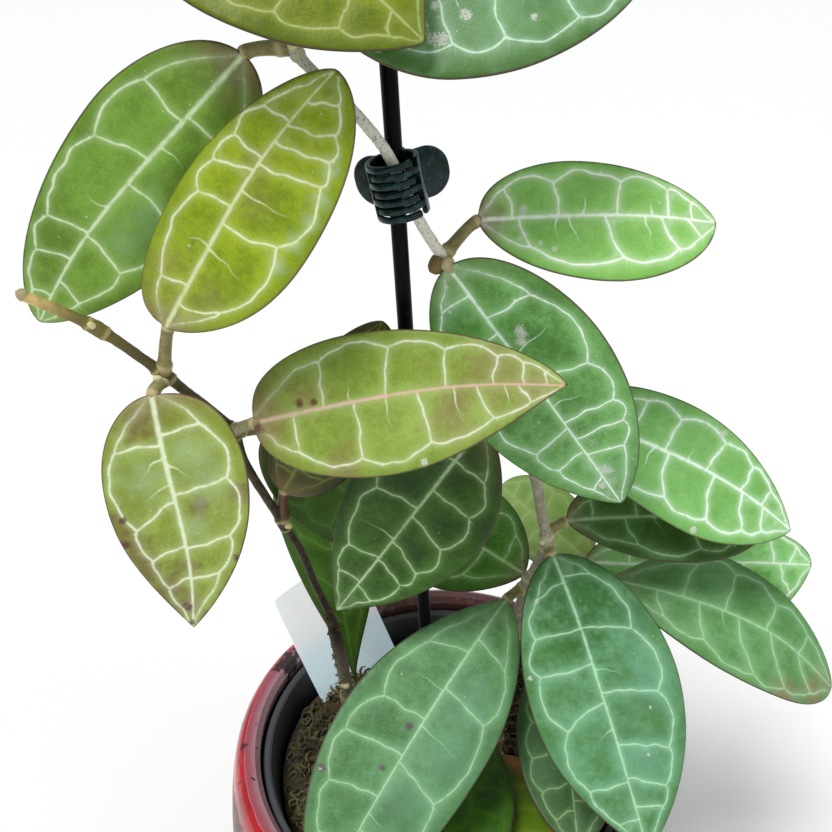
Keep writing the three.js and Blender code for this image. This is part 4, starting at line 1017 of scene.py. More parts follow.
def vine_part(vine):
    """The stem's tube with its node swellings and ring scars, and where along it each point is."""
    path = smooth_path(vine["path"], 0.7)
    share = np.linspace(0, 1, len(path))
    thinned = share
    if "bark_end" in vine:
        fade = np.clip((share - vine["bark_end"] + BARK_FADE) / BARK_FADE, 0, 1)
        thinned = fade * fade * (3 - 2 * fade)
    radii = vine["foot"] + (vine["tip"] - vine["foot"]) * thinned
    rings = np.zeros(len(path))
    swell = np.zeros(len(path))
    step = np.linalg.norm(path[1] - path[0])
    for place in vine["nodes"]:
        gap = np.linalg.norm(path - np.array(place, float), axis=1)
        swell = swell + np.exp(-(gap / NODE_REACH) ** 2)
        centre = int(gap.argmin())
        for way in (-1, 1):
            at = (np.arange(len(path)) - centre) * step - way * RING_OFFSET
            rings = np.maximum(rings, np.exp(-(at / 0.6) ** 2))
    radii = radii + NODE_SWELL * np.minimum(swell, 1) + RING_HEIGHT * rings
    vertices, faces = tube(path, radii, VINE_SIDES)
    centre = np.concatenate([np.repeat(path, VINE_SIDES, axis=0), path[[0, -1]]])
    rough = np.array([noise.noise(Vector(v) * 0.45) for v in vertices])
    grooves = np.array([noise.noise(Vector((v[0] * 1.1, v[1] * 1.1, v[2] * 0.25))) for v in vertices])
    vertices = vertices + (vertices - centre) * (0.06 * rough + 0.05 * grooves)[:, None]
    along = np.concatenate([np.repeat(share, VINE_SIDES), [0, 1]])
    ringed = np.concatenate([np.repeat(rings, VINE_SIDES), [0, 0]])
    return vertices, faces, {"along": along, "ring": ringed, "bud": np.zeros(len(vertices))}, path


def cone_part(start, heading, length, radius, bud, along, sides=8, blunt=0.35):
    """A small tapering peg: a bud, a bract or a rootlet."""
    heading = np.array(heading, float) / np.linalg.norm(heading)
    share = np.linspace(0, 1, 7)
    path = np.array(start, float) + share[:, None] * heading * length
    radii = radius * (blunt + (1 - blunt) * np.sqrt(np.clip(1 - share ** 2, 0, 1)) * (1 - 0.3 * share))
    vertices, faces = tube(path, radii, sides)
    many = np.ones(len(vertices))
    return vertices, faces, {"bud": many * bud, "along": many * along, "ring": many * 0}


def rootlet_parts(path, low, high, count, seed, facing):
    rng = random.Random(seed)
    parts = []
    for _ in range(count):
        spot = rng.uniform(low, high)
        place = path[int(spot * (len(path) - 1))]
        heading = np.array(facing) + np.array([rng.uniform(-0.5, 0.5) for _ in range(3)])
        parts.append(cone_part(place + heading * 1.4, heading, rng.uniform(0.9, 2.0), rng.uniform(0.4, 0.9),
                               0.16, spot, sides=7, blunt=0.5))
    return parts


def vine_material(name, shades, ring, speck, pores):
    # Smooth young bark that turns to grey cork: waxy and dull, flecked with dark pores.
    material, tree, shader, place = start_material(name)
    value = {key: add_node(tree, "ShaderNodeAttribute", {}, "Fac", attribute_name=key)
             for key in ("along", "ring", "bud")}
    bark, fine = [
        add_node(tree, NOISE, {"Vector": place, "Scale": 1 / (size * MM), "Detail": 5, "Roughness": 0.65})
        for size in (2.4, 0.7)]
    colour = linear(shades[0][1])
    for (before, _), (position, shade) in zip(shades[:-1], shades[1:]):
        colour = glaze(tree, colour, linear(shade), value["along"], before, position)
    colour = glaze(tree, colour, linear(speck), bark, 0.4, 0.7, 0.45)
    older = add_node(tree, MATH, {0: value["along"], 1: pores, 2: fine}, operation="MULTIPLY_ADD")
    colour = glaze(tree, colour, linear("#33281c"), older, 0.56, 0.66, 0.7)
    colour = glaze(tree, colour, linear(ring), value["ring"], power=0.8)
    bud = glaze(tree, linear("#786438"), linear("#dcd29e"), value["bud"], 0.3, 1.0)
    colour = glaze(tree, colour, bud, value["bud"], 0.1, 0.3)
    height = add_node(tree, MATH, {0: bark, 1: fine}, operation="ADD")
    dress(tree, shader, colour, bark, (0.5, 0.7), height, 0.35)
    shader.inputs["IOR"].default_value = 1.42
    return material


# Between the upper node and the clip the pale stem is painted nearly white: its own pale bark, lightened
# further by a painted highlight.
PALE_BARK = ((0.0, "#7f7459"), (0.35, "#979079"), (0.62, "#c6c1ae"), (0.8, "#e6e3d8"), (0.93, "#a39d84"))
DARK_BARK = ((0.16, "#a69c8a"), (0.3, "#241b12"), (0.62, "#332812"), (0.86, "#4c421a"),
             (0.94, "#766c2e"), (1.0, "#e4c882"))
vine_materials = {
    "stem_pale": vine_material("pale_woody_stem", PALE_BARK, "#d2cba4", "#dcd8c8", 0.02),
    "stem_dark": vine_material("dark_young_stem", DARK_BARK, "#b6ac70", "#6a5f46", -0.12),
}
BUDS = {
    "vine_right": [((-3.2, 1, 334.5), (-0.5, -0.85, 0.1), 2.6, 2.3, 1.0),
                   ((-5.0, -0.6, 335.2), (-0.7, -0.6, -0.38), 3.4, 2.9, 0.3),
                   ((-41, -4, 391), (0.6, -0.8, 0.3), 3.4, 1.4, 1.0),
                   ((17, 9, 283), (-0.9, -0.5, -0.3), 3.6, 1.5, 1.0),
                   ((27, 4, 213), (0.8, -0.6, 0.2), 4.0, 1.6, 1.0),
                   ((33, 6, 231), (-0.8, -0.6, 0.4), 3.4, 1.5, 1.0)],
    "vine_left": [((-108.6, -23.8, 336.7), (-0.66, -0.33, 0.62), 1.8, 1.75, 0.6),
                  ((-95, -17, 324), (-0.2, -0.7, 0.7), 3.8, 1.3, 1.0),
                  ((-81, -12, 307), (-0.6, -0.8, 0.1), 3.6, 1.6, 0.9),
                  ((-67, -1, 281), (0.2, -0.9, -0.3), 3.4, 1.4, 1.0),
                  ((-56, 7, 238), (0.8, -0.6, 0.1), 3.8, 1.5, 1.0),
                  ((-41, 24.4, 138), (0.5, -0.8, 0.2), 3.2, 2.0, 1.0)],
    "vine_back": [((47, 22, 185), (-0.7, -0.7, 0.2), 3.2, 1.4, 1.0)],
}
for name, vine in VINES.items():
    vertices, faces, values, path = vine_part(vine)
    parts = [(vertices, faces, values)]
    for place, heading, length, radius, tone in BUDS[name]:
        parts.append(cone_part(place, heading, length, radius, tone, 0.8, sides=12))
    if name == "vine_left":
        parts += rootlet_parts(path, 0.14, 0.33, 46, 5, (-0.8, -0.5, 0.1))
        parts += rootlet_parts(path, 0.12, 0.34, 24, 6, (0.7, -0.6, 0.1))
    if name == "vine_right":
        parts += rootlet_parts(path, 0.62, 0.66, 6, 9, (0.4, -0.8, -0.2))
    vertices, faces, values = join_parts(parts)
    mesh = make_mesh(name + "_stem", vertices * MM, faces, values)
    link_piece(name + "_stem", mesh, vine_materials[vine["slot"]], PLANT, [name])
    print(name, len(faces), "faces")

# %% [markdown]
# ## Pots
#
# The outer pot is a thick glazed shell, taken as round, so its section is drawn once and spun. Its
# red glaze is pink on the lip, partly its own paler lip and partly a painted sheen, and mottled dark
# brown below it. The black inner pot is a thin moulded grower's pot with a lip and drain holes, and
# stands inside; a painted highlight greys the top of its wall.

# %% Shaping helpers
def start_shaping(adder, **settings):
    bpy.ops.object.select_all(action="DESELECT")
    adder(**settings)
    bpy.ops.object.mode_set(mode="EDIT")
    bpy.ops.mesh.select_all(action="SELECT")


def end_shaping(name, smooth_angle=35):
    bpy.ops.mesh.select_all(action="SELECT")
    bpy.ops.mesh.remove_doubles(threshold=0.005 * MM)
    bpy.ops.mesh.normals_make_consistent(inside=False)
    bpy.ops.object.mode_set(mode="OBJECT")
    bpy.ops.object.transform_apply(location=True, rotation=True, scale=True)
    bpy.ops.object.shade_smooth_by_angle(angle=math.radians(smooth_angle))
    piece = bpy.context.object
    piece.name = name
    return piece


def finish_piece(piece, material, body, slot, *replaced):
    piece.data.materials.clear()
    piece.data.materials.append(material)
    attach(piece, body)
    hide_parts(*replaced)


def draw_section(section):
    """Draws an open line of (radius, height) places in mm, from one point, by extruding it."""
    start_shaping(bpy.ops.mesh.primitive_plane_add, size=MM, location=(0, 0, 0))
    bpy.ops.mesh.merge(type="CENTER")
    before = (0, 0)
    for number, (radius, height) in enumerate(section):
        shift = ((radius - before[0]) * MM, 0, (height - before[1]) * MM)
        if number == 0:
            bpy.ops.transform.translate(value=shift)
        else:
            bpy.ops.mesh.extrude_region_move(TRANSFORM_OT_translate={"value": shift})
        before = (radius, height)


def spin_section(name, section, steps):
    draw_section(section)
    bpy.ops.mesh.select_all(action="SELECT")
    bpy.ops.mesh.spin(steps=steps, angle=2 * math.pi, center=(0, 0, 0), axis=(0, 0, 1))
    return end_shaping(name)


def soften(section, step):
    line = smooth_path([(r, 0, z) for r, z in section], step)
    return [(max(p[0], 0), p[2]) for p in line]


# %% Outer pot
POT_SECTION = [
    (58, 0), (61, 2), (71, 24), (80, 52), (85.5, 92), (84, 118), (81, 135), (79, 138.5), (76, 140),
    (73.5, 139.7), (71.5, 137), (76, 118), (78.5, 92), (72.5, 54), (63, 28), (54, 9),
]
FLAKE_PLACE = (-0.066, 0.036, 0.139)


def glaze_material():
    # Red stoneware glaze: glassy and wet-looking, black where it flaked; pink and dull in places on the lip,
    # partly its own paler lip and partly a painted sheen with pale streaks.
    material, tree, shader, place = start_material("worn_red_glaze")
    height = add_node(tree, "ShaderNodeSeparateXYZ", {"Vector": place}, "Z")
    depth = add_node(tree, "ShaderNodeSeparateXYZ", {"Vector": place}, "Y")
    level = add_node(tree, "ShaderNodeVectorMath", {0: place, 1: (1, 1, 0)}, operation="MULTIPLY")
    radius = add_node(tree, "ShaderNodeVectorMath", {0: level}, "Value", operation="LENGTH")
    broad, chipped, ragged = [
        add_node(tree, NOISE, {"Vector": place, "Scale": 1 / (size * MM), "Detail": 6, "Roughness": 0.65})
        for size in (26, 9, 4)]
    colour = glaze(tree, linear("#b80c1c"), linear("#840a14"), broad, 0.35, 0.7)
    inner = add_node(tree, RANGE, {"Value": radius, "From Min": 78.0 * MM, "From Max": 76.6 * MM})
    top = add_node(tree, RANGE, {"Value": height, "From Min": 0.118, "From Max": 0.122})
    inner = add_node(tree, MATH, {0: inner, 1: top}, operation="MULTIPLY")
    # The inner lip is pinkish mauve with a pale line: the glaze's own paler lip with a painted sheen on it.
    pink_lip_and_sheen = add_node(tree, MATH, {0: ragged, 1: 0.8, 2: inner}, operation="MULTIPLY_ADD")
    colour = glaze(tree, colour, linear("#9a4e5c"), pink_lip_and_sheen, 0.8, 1.1, 0.85)
    sheen_line = add_node(tree, MATH, {0: pink_lip_and_sheen, 1: 0.9, 2: 0.08}, operation="COMPARE")
    colour = glaze(tree, colour, linear("#d8b0b4"), sheen_line, power=0.45)
    # Further down inside the lip a greyish pink band is painted sheen.
    highlight_band = add_node(tree, RANGE, {"Value": radius, "From Min": 77 * MM, "From Max": 73 * MM,
                                    "To Max": 0.75})
    highlight_band = add_node(tree, MATH, {0: broad, 1: 0.6, 2: highlight_band}, operation="MULTIPLY_ADD")
    highlight_band = add_node(tree, MATH, {0: highlight_band, 1: top}, operation="MULTIPLY")
    colour = glaze(tree, colour, linear("#a68890"), highlight_band, 0.4, 1.1, 0.8)
    far = add_node(tree, MATH, {0: ragged, 1: 0.05, 2: depth}, operation="MULTIPLY_ADD")
    far = add_node(tree, MATH, {0: far, 1: top}, operation="MULTIPLY")
    colour = glaze(tree, colour, linear("#583232"), far, 0.078, 0.095, 0.9)
    outside = add_node(tree, RANGE, {"Value": radius, "From Min": 79 * MM, "From Max": 80.5 * MM})
    flank = add_node(tree, RANGE, {"Value": height, "From Min": 0.139, "From Max": 0.128})
    worn = add_node(tree, MATH, {0: outside, 1: flank}, operation="MULTIPLY")
    below = add_node(tree, MATH, {0: 1.0, 1: top}, operation="SUBTRACT")
    worn = add_node(tree, MATH, {0: worn, 1: below}, operation="MAXIMUM")
    cell = add_node(tree, VORONOI, {"Vector": place, "Scale": 1 / (9 * MM)}, "Distance",
                    feature="DISTANCE_TO_EDGE")
    crack = add_node(tree, RANGE, {"Value": cell, "From Min": 0.03, "From Max": 0.006})
    crack = add_node(tree, MATH, {0: crack, 1: worn}, operation="MULTIPLY")
    colour = glaze(tree, colour, linear("#2a0a0a"), crack)
    flaked = add_node(tree, MATH, {0: chipped, 1: 0.35, 2: 0.0}, operation="MULTIPLY_ADD")
    flaked = add_node(tree, MATH, {0: worn, 1: 0.38, 2: flaked}, operation="MULTIPLY_ADD")
    flaked = add_node(tree, MATH, {0: ragged, 1: 0.3, 2: flaked}, operation="MULTIPLY_ADD")
    colour = glaze(tree, colour, linear("#3a1716"), flaked, 0.64, 0.74)
    away = add_node(tree, "ShaderNodeVectorMath", {0: place, 1: FLAKE_PLACE}, "Value", operation="DISTANCE")
    near_flake = add_node(tree, RANGE, {"Value": away, "From Min": 16 * MM, "From Max": 4 * MM,
                                        "To Max": 0.17})
    chips = add_node(tree, MATH, {0: chipped, 1: near_flake}, operation="ADD")
    colour = glaze(tree, colour, linear("#1c0f0e"), chips, 0.63, 0.68, 0.95)
    dull = add_node(tree, MATH, {0: flaked, 1: chips}, operation="MAXIMUM")
    low = add_node(tree, RANGE, {"Value": dull, "From Min": 0.55, "From Max": 0.7,
                                 "To Min": 0.7, "To Max": 0.3})
    gloss = add_node(tree, MATH, {0: 1.0, 1: low}, operation="SUBTRACT")
    dress(tree, shader, colour, gloss, (0.16, 0.65), low, 0.5, 0.6)
    shader.inputs["IOR"].default_value = 1.52
    shader.inputs["Coat Weight"].default_value = 0.3
    return material


pot = spin_section("glazed_pot", [(0, 0)] + soften(POT_SECTION, 3.0) + [(0, 9)], 128)
finish_piece(pot, glaze_material(), PLANT, "pot_glaze", "pot")
print("outer pot:", len(pot.data.polygons), "faces")

# %% Inner pot
LINER_SECTION = [
    (0, 9.3), (47.5, 9.3), (49.0, 10.4), (69.2, 128.6), (69.2, 129), (70.4, 129.2), (70.6, 129.6),
    (70.6, 133.5), (70.2, 134), (68.4, 134), (67.7, 133.3), (66.9, 128),
    (47.8, 12.0), (46.6, 10.9), (0, 10.9),
]
DRAIN_COUNT = 5
DRAIN_RADIUS = 5
DRAIN_CIRCLE = 30


def liner_material():
    # Black moulded polypropylene: slightly greasy shine, dusty scuffs from the potting mix, and a painted
    # highlight that greys the top of the wall.
    material, tree, shader, place = start_material("black_moulded_plastic")
    dust, fine = [add_node(tree, NOISE, {"Vector": place, "Scale": 1 / (size * MM), "Detail": 5})
                  for size in (16, 0.8)]
    height = add_node(tree, "ShaderNodeSeparateXYZ", {"Vector": place}, "Z")
    # The top of the inner pot is painted grey, fading to black below: a painted highlight along the rim.
    highlight_band = add_node(tree, RANGE, {"Value": height, "From Min": 0.12, "From Max": 0.1335})
    colour = glaze(tree, linear("#101418"), linear("#3a3c3c"), dust, 0.5, 0.75, 0.5)
    colour = glaze(tree, colour, linear("#62646a"), highlight_band, power=0.45)
    dress(tree, shader, colour, dust, (0.25, 0.6), fine, 0.06, 0.5)
    shader.inputs["IOR"].default_value = 1.49
    return material


liner = spin_section("growers_pot", LINER_SECTION, 128)
for number in range(DRAIN_COUNT):
    angle = 2 * math.pi * number / DRAIN_COUNT
    spot = (DRAIN_CIRCLE * math.cos(angle) * MM, DRAIN_CIRCLE * math.sin(angle) * MM, 10 * MM)
    bpy.ops.object.select_all(action="DESELECT")
    bpy.ops.mesh.primitive_cylinder_add(vertices=32, radius=DRAIN_RADIUS * MM, depth=10 * MM, location=spot)
    drill = bpy.context.object
    cut = liner.modifiers.new("drain", "BOOLEAN")
    cut.object = drill
    bpy.context.view_layer.objects.active = liner
    bpy.ops.object.modifier_apply(modifier=cut.name)
    bpy.data.objects.remove(drill)
finish_piece(liner, liner_material(), PLANT, "inner_pot", "inner_pot")
print("inner pot:", len(liner.data.polygons), "faces")

# %% [markdown]
# ## Moss
#
# Long-fibred moss fills the inner pot: a lumpy brown bed with curled olive shoots matted over it. The
# bed is a displaced dome, and the shoots are short bent strands, drawn once in four lengths and
# turned and strewn by a seeded draw.

# %% Moss bed and strands
MOSS_EDGE_HEIGHT = 118
MOSS_CROWN = 8
MOSS_FLOOR = 11.2
WALL_FOOT, WALL_FOOT_HEIGHT = 49, 9.3
WALL_TOP, WALL_TOP_HEIGHT = 69.2, 134
WALL_THICKNESS = 1.6
MOSS_GAP = 0.5
STRAND_RADIUS = 0.55
STRAND_TRIES = 5600


def wall_radius(z):
    """The inner pot's inner radius at a height, less the gap that the moss keeps to it."""
    share = (z - WALL_FOOT_HEIGHT) / (WALL_TOP_HEIGHT - WALL_FOOT_HEIGHT)
    return WALL_FOOT + (WALL_TOP - WALL_FOOT) * share - WALL_THICKNESS - MOSS_GAP


def moss_height(x, y):
    share = math.hypot(x, y) / wall_radius(MOSS_EDGE_HEIGHT)
    lump = noise.noise(Vector((x * 0.07, y * 0.07, 1.5))) * 4.6
    lump += noise.noise(Vector((x * 0.21, y * 0.21, 4))) * 2.4
    small = noise.noise(Vector((x * 0.55, y * 0.55, 9))) * 0.7
    return MOSS_EDGE_HEIGHT + MOSS_CROWN * (1 - share * share) + (lump + small) * min(1, 4 * (1.04 - share))


def moss_bed():
    rings, sides = 46, 132
    edge = wall_radius(MOSS_EDGE_HEIGHT)
    vertices = [(0, 0, moss_height(0, 0))]
    for i in range(1, rings + 1):
        for j in range(sides):
            angle = 2 * math.pi * j / sides
            x, y = edge * i / rings * math.cos(angle), edge * i / rings * math.sin(angle)
            vertices.append((x, y, moss_height(x, y)))
    foot = wall_radius(MOSS_FLOOR)
    for j in range(sides):
        angle = 2 * math.pi * j / sides
        vertices.append((foot * math.cos(angle), foot * math.sin(angle), MOSS_FLOOR))
    vertices.append((0, 0, MOSS_FLOOR))
    faces = [(0, 1 + j, 1 + (j + 1) % sides) for j in range(sides)]
    for i in range(rings):
        start = 1 + i * sides
        faces += [(start + j, start + sides + j, start + sides + (j + 1) % sides, start + (j + 1) % sides)
                  for j in range(sides)]
    last = 1 + rings * sides
    faces += [(last + sides, last + (j + 1) % sides, last + j) for j in range(sides)]
    return np.array(vertices), faces, {"shade": np.zeros(len(vertices))}


def strand_shape(length, curl, sides=4, rings=5):
    share = np.linspace(0, 1, rings)
    path = np.stack([length * share, curl * np.sin(share * 2.8), 0.45 * length * np.sin(2.4 * share)], axis=1)
    return tube(path, STRAND_RADIUS * np.sqrt(np.clip(1 - (share * 0.95) ** 2, 0, 1)), sides)


def strewn_strands(count, seed):
    rng = random.Random(seed)
    shapes = [strand_shape(length, curl) for length, curl in ((3, 1.2), (4.5, -1.8), (6, 2.2), (3.6, 2.4))]
    reach = wall_radius(MOSS_EDGE_HEIGHT) - 1.5
    parts = []
    for _ in range(count):
        distance, angle = reach * math.sqrt(rng.random()), rng.uniform(0, 2 * math.pi)
        x, y = distance * math.cos(angle), distance * math.sin(angle)
        tuft = noise.noise(Vector((x * 0.13, y * 0.13, 6)))
        if tuft < rng.uniform(-0.5, 0.1):
            continue
        shape, faces = rng.choice(shapes)
        turn, tip, size = rng.uniform(0, 2 * math.pi), rng.uniform(-0.5, 0.5), rng.uniform(0.7, 1.25)
        c, s = math.cos(turn), math.sin(turn)
        tilted = np.stack([shape[:, 0], shape[:, 1] * math.cos(tip) - shape[:, 2] * math.sin(tip),
                           shape[:, 1] * math.sin(tip) + shape[:, 2] * math.cos(tip)], axis=1) * size
        placed = np.stack([tilted[:, 0] * c - tilted[:, 1] * s + x, tilted[:, 0] * s + tilted[:, 1] * c + y,
                           tilted[:, 2] + moss_height(x, y) + 3.5 * tuft + rng.uniform(-0.8, 0.6)], axis=1)
        away = np.hypot(placed[:, 0], placed[:, 1])
        if away.max() < reach + 1:
            shade = 0.35 + tuft + rng.uniform(-0.35, 0.35)
            parts.append((placed, faces, {"shade": np.full(len(placed), shade)}))
    return parts


def moss_material():
    # Dried long-fibred moss: matte, olive where it still grows, brown below, and nearly black on the bed
    # between the shoots, where its brown is darkened with painted shade.
    material, tree, shader, place = start_material("long_fibred_moss")
    shade = add_node(tree, "ShaderNodeAttribute", {}, "Fac", attribute_name="shade")
    broad, fine = [add_node(tree, NOISE, {"Vector": place, "Scale": 1 / (size * MM), "Detail": 4})
                   for size in (11, 1.1)]
    # The bed has shade 0 and takes the near-black: painted shade between the shoots over the moss's brown.
    colour = glaze(tree, linear("#2a2512"), linear("#665f26"), shade)
    colour = glaze(tree, colour, linear("#54401f"), broad, 0.5, 0.72, 0.7)
    colour = glaze(tree, colour, linear("#736c30"), fine, 0.5, 0.8, 0.6)
    dress(tree, shader, colour, broad, (0.85, 0.95), fine, 0.6, 0.9)
    shader.inputs["Sheen Weight"].default_value = 0.15
    return material


vertices, faces, values = join_parts([moss_bed()] + strewn_strands(STRAND_TRIES, 11))
moss_mesh = make_mesh("moss_bed", vertices * MM, faces, values)
link_piece("moss_bed", moss_mesh, moss_material(), PLANT, ["moss"])
print("moss:", len(faces), "faces")

# %% [markdown]
# ## Label and stake
#
# The blank label is a strip cut from white plastic sheet, bowed a little above the soil. The stake
# is a black coated rod: a cylinder with rounded ends, set from the moss to above the clip.

# %% Label
LABEL_WIDTH = 41
LABEL_HEIGHT = 74
LABEL_THICKNESS = 1
LABEL_SOIL_POINT = (-35.4, 44.1, 118)
LABEL_BURIED = 16
LABEL_TURN = 40
LABEL_LEAN = 22
LABEL_ROLL = 8


def turn_about(axis, degrees):
    bpy.ops.transform.rotate(value=-math.radians(degrees), orient_axis=axis, center_override=(0, 0, 0))


def label_material():
    # White polystyrene sheet: matte and faintly blue, lets light through, with a faint painted glow;
    # stains and painted shade darken it towards the soil.
    material, tree, shader, place = start_material("white_label_plastic")
    height = add_node(tree, "ShaderNodeSeparateXYZ", {"Vector": place}, "Z")
    stain, fine = [add_node(tree, NOISE, {"Vector": place, "Scale": 1 / (size * MM), "Detail": 5})
                   for size in (7, 1.2)]
    # Darker towards the soil: painted shade near the moss, broken by stains.
    low = add_node(tree, RANGE, {"Value": height, "From Min": 0.15, "From Max": 0.112, "To Max": 0.55})
    stains_and_shade = add_node(tree, MATH, {0: stain, 1: 0.5, 2: low}, operation="MULTIPLY_ADD")
    colour = glaze(tree, linear("#f4fbff"), linear("#9a9c90"), stains_and_shade, 0.45, 1.0)
    dress(tree, shader, colour, stain, (0.4, 0.5), fine, 0.05, 0.4)
    shader.inputs["IOR"].default_value = 1.55
    shader.inputs["Subsurface Weight"].default_value = 0.6
    shader.inputs["Subsurface Scale"].default_value = 6 * MM
    # The emission is a painted glow that brightens the sheet; it gives no light of its own.
    shader.inputs["Emission Color"].default_value = linear("#d4e4f4")
    shader.inputs["Emission Strength"].default_value = 0.3
    return material


start_shaping(bpy.ops.mesh.primitive_cube_add, size=MM, location=(0, 0, 0))
bpy.ops.transform.resize(value=(LABEL_WIDTH, LABEL_THICKNESS, LABEL_HEIGHT))
bpy.ops.transform.translate(value=(0, 0, (LABEL_HEIGHT / 2 - LABEL_BURIED) * MM))
edit_mesh = bmesh.from_edit_mesh(bpy.context.object.data)
bpy.ops.mesh.select_all(action="DESELECT")
for edge in edit_mesh.edges:
    heading = edge.verts[1].co - edge.verts[0].co
    edge.select = abs(heading.y) > 0.5 * MM and edge.verts[0].co.z > 0
bpy.ops.mesh.bevel(offset=2.5 * MM, segments=6, affect="EDGES")
bpy.ops.mesh.select_all(action="SELECT")
bpy.ops.mesh.bevel(offset=0.15 * MM, segments=1, affect="EDGES")
for height in range(-10, 58, 6):
    bpy.ops.mesh.select_all(action="SELECT")
    bpy.ops.mesh.bisect(plane_co=(0, 0, height * MM), plane_no=(0, 0, 1))
edit_mesh = bmesh.from_edit_mesh(bpy.context.object.data)
for vertex in edit_mesh.verts:
    bow = max(vertex.co.z / MM, 0) / 58
    vertex.co.y += 1.2 * bow * (1 - bow) * 4 * MM * 0.5
bmesh.update_edit_mesh(bpy.context.object.data)
bpy.ops.mesh.select_all(action="SELECT")
turn_about("Y", -LABEL_ROLL)
turn_about("X", -LABEL_LEAN)
turn_about("Z", LABEL_TURN)
bpy.ops.transform.translate(value=[v * MM for v in LABEL_SOIL_POINT])
label = end_shaping("blank_label")
finish_piece(label, label_material(), PLANT, "label", "label")
print("label box", [round(v / MM) for corner in label.bound_box for v in corner][:3])

# %% Stake
STAKE_RADIUS = 2.2
STAKE_FOOT = Vector((1, 0, 24))
STAKE_TOP = Vector((-19, 0, 404))


def stake_material():
    # Plastic-coated rod: black, glossy, with faint lengthwise drawing marks and a few scratches.
    material, tree, shader, place = start_material("black_coated_rod")
    drawn = add_node(tree, "ShaderNodeMapping", {"Vector": place, "Scale": (1, 1, 0.05)})
    lines = add_node(tree, NOISE, {"Vector": drawn, "Scale": 1 / (0.8 * MM), "Detail": 3})
    wear = add_node(tree, NOISE, {"Vector": place, "Scale": 1 / (3 * MM), "Detail": 5})
    colour = glaze(tree, linear("#030305"), linear("#26232c"), wear, 0.62, 0.75, 0.5)
    dress(tree, shader, colour, lines, (0.26, 0.46), lines, 0.15, 0.6)
    shader.inputs["IOR"].default_value = 1.18
    return material


axis = STAKE_TOP - STAKE_FOOT
start_shaping(bpy.ops.mesh.primitive_cylinder_add, vertices=48, radius=STAKE_RADIUS * MM,
              depth=axis.length * MM, location=(STAKE_FOOT + STAKE_TOP) / 2 * MM,
              rotation=axis.to_track_quat("Z", "Y").to_euler())
edit_mesh = bmesh.from_edit_mesh(bpy.context.object.data)
bpy.ops.mesh.select_all(action="DESELECT")
for edge in edit_mesh.edges:
    edge.select = edge.calc_length() < 1 * MM
bpy.ops.mesh.bevel(offset=0.8 * MM, segments=4, affect="EDGES")
stake = end_shaping("coated_stake")
finish_piece(stake, stake_material(), PLANT, "stake", "stake")
print("stake:", len(stake.data.polygons), "faces")

# %% [markdown]
# ## Clip
#
# A small spring clip holds the vine to the stake. Two moulded jaws turn on a steel pin: each has a
# curved back plate, interleaved ribbed fingers that close the loop in front, and a rounded paddle to
# squeeze. The pin stands along Z while it is built, and the whole clip is tilted at the end.

# %% Clip
CLIP_CENTRE = (-16, 5.2, 357)
CLIP_TILT = 12
CLIP_TURN = 5
CLIP_HEIGHT = 15
LOOP_INNER = 5.6
LOOP_OUTER = 7
LOOP_OFFSET = 7.6
FINGER_PITCH = 4.4
FINGER_HEIGHT = 1.8
PIN_RADIUS = 1
KNUCKLE_RADIUS = 2.6
SPRING_ROOM = 2.1
PADDLE_LENGTH = 12.5
PADDLE_HEIGHT = 13.5
PADDLE_THICKNESS = 1.6
PADDLE_ANGLE = 24
CLIP_BODY = {"left": "plant", "right": "clip_right"}


def clip_material():
    # Dark green-black injection-moulded plastic, polished by the mould, with fine scratches.
    material, tree, shader, place = start_material("dark_clip_plastic")
    wear, fine = [add_node(tree, NOISE, {"Vector": place, "Scale": 1 / (size * MM), "Detail": 5})
                  for size in (2.2, 0.5)]
    colour = glaze(tree, linear("#06181a"), linear("#1a3c3e"), wear, 0.4, 0.72)
    dress(tree, shader, colour, wear, (0.16, 0.34), fine, 0.04, 0.5)
    shader.inputs["IOR"].default_value = 1.33
    return material


def steel_material():
    # Bright drawn spring steel with a faint brown bloom.
    material, tree, shader, place = start_material("drawn_spring_steel")
    bloom = add_node(tree, NOISE, {"Vector": place, "Scale": 1 / (1.5 * MM), "Detail": 4})
    colour = glaze(tree, linear("#b9bcbe"), linear("#7c6a58"), bloom, 0.5, 0.75)
    dress(tree, shader, colour, bloom, (0.24, 0.34), bloom, 0.02, 0.5)
    shader.inputs["Metallic"].default_value = 1.0
    return material


def swept_arc(start, end, low, high, steps, round_edge):
    """A curved bar of the loop: its section is drawn at +X, rounded and spun from start to end."""
    width, height = LOOP_OUTER - LOOP_INNER, high - low
    start_shaping(bpy.ops.mesh.primitive_plane_add, size=MM, location=(0, 0, 0))
    bpy.ops.transform.resize(value=(width, height, 1))
    bpy.ops.mesh.bevel(offset=round_edge * MM, segments=4, affect="VERTICES")
    turn_about("X", 90)
    middle = (LOOP_INNER + LOOP_OUTER) / 2
    bpy.ops.transform.translate(value=(middle * MM, 0, (low + high) / 2 * MM))
    turn_about("Z", start)
    bpy.ops.transform.translate(value=(0, -LOOP_OFFSET * MM, 0))
    bpy.ops.mesh.spin(steps=steps, angle=math.radians(start - end), center=(0, -LOOP_OFFSET * MM, 0),
                      axis=(0, 0, 1))
    return end_shaping("bar")


def knuckle(low, high):
    start_shaping(bpy.ops.mesh.primitive_cylinder_add, vertices=40, radius=KNUCKLE_RADIUS * MM,
                  depth=(high - low) * MM, location=(0, 0, (low + high) / 2 * MM))
    edit_mesh = bmesh.from_edit_mesh(bpy.context.object.data)
    bpy.ops.mesh.select_all(action="DESELECT")
    for edge in edit_mesh.edges:
        edge.select = abs((edge.verts[1].co - edge.verts[0].co).z) < 0.01 * MM
    bpy.ops.mesh.bevel(offset=0.3 * MM, segments=3, affect="EDGES")
    return end_shaping("knuckle")


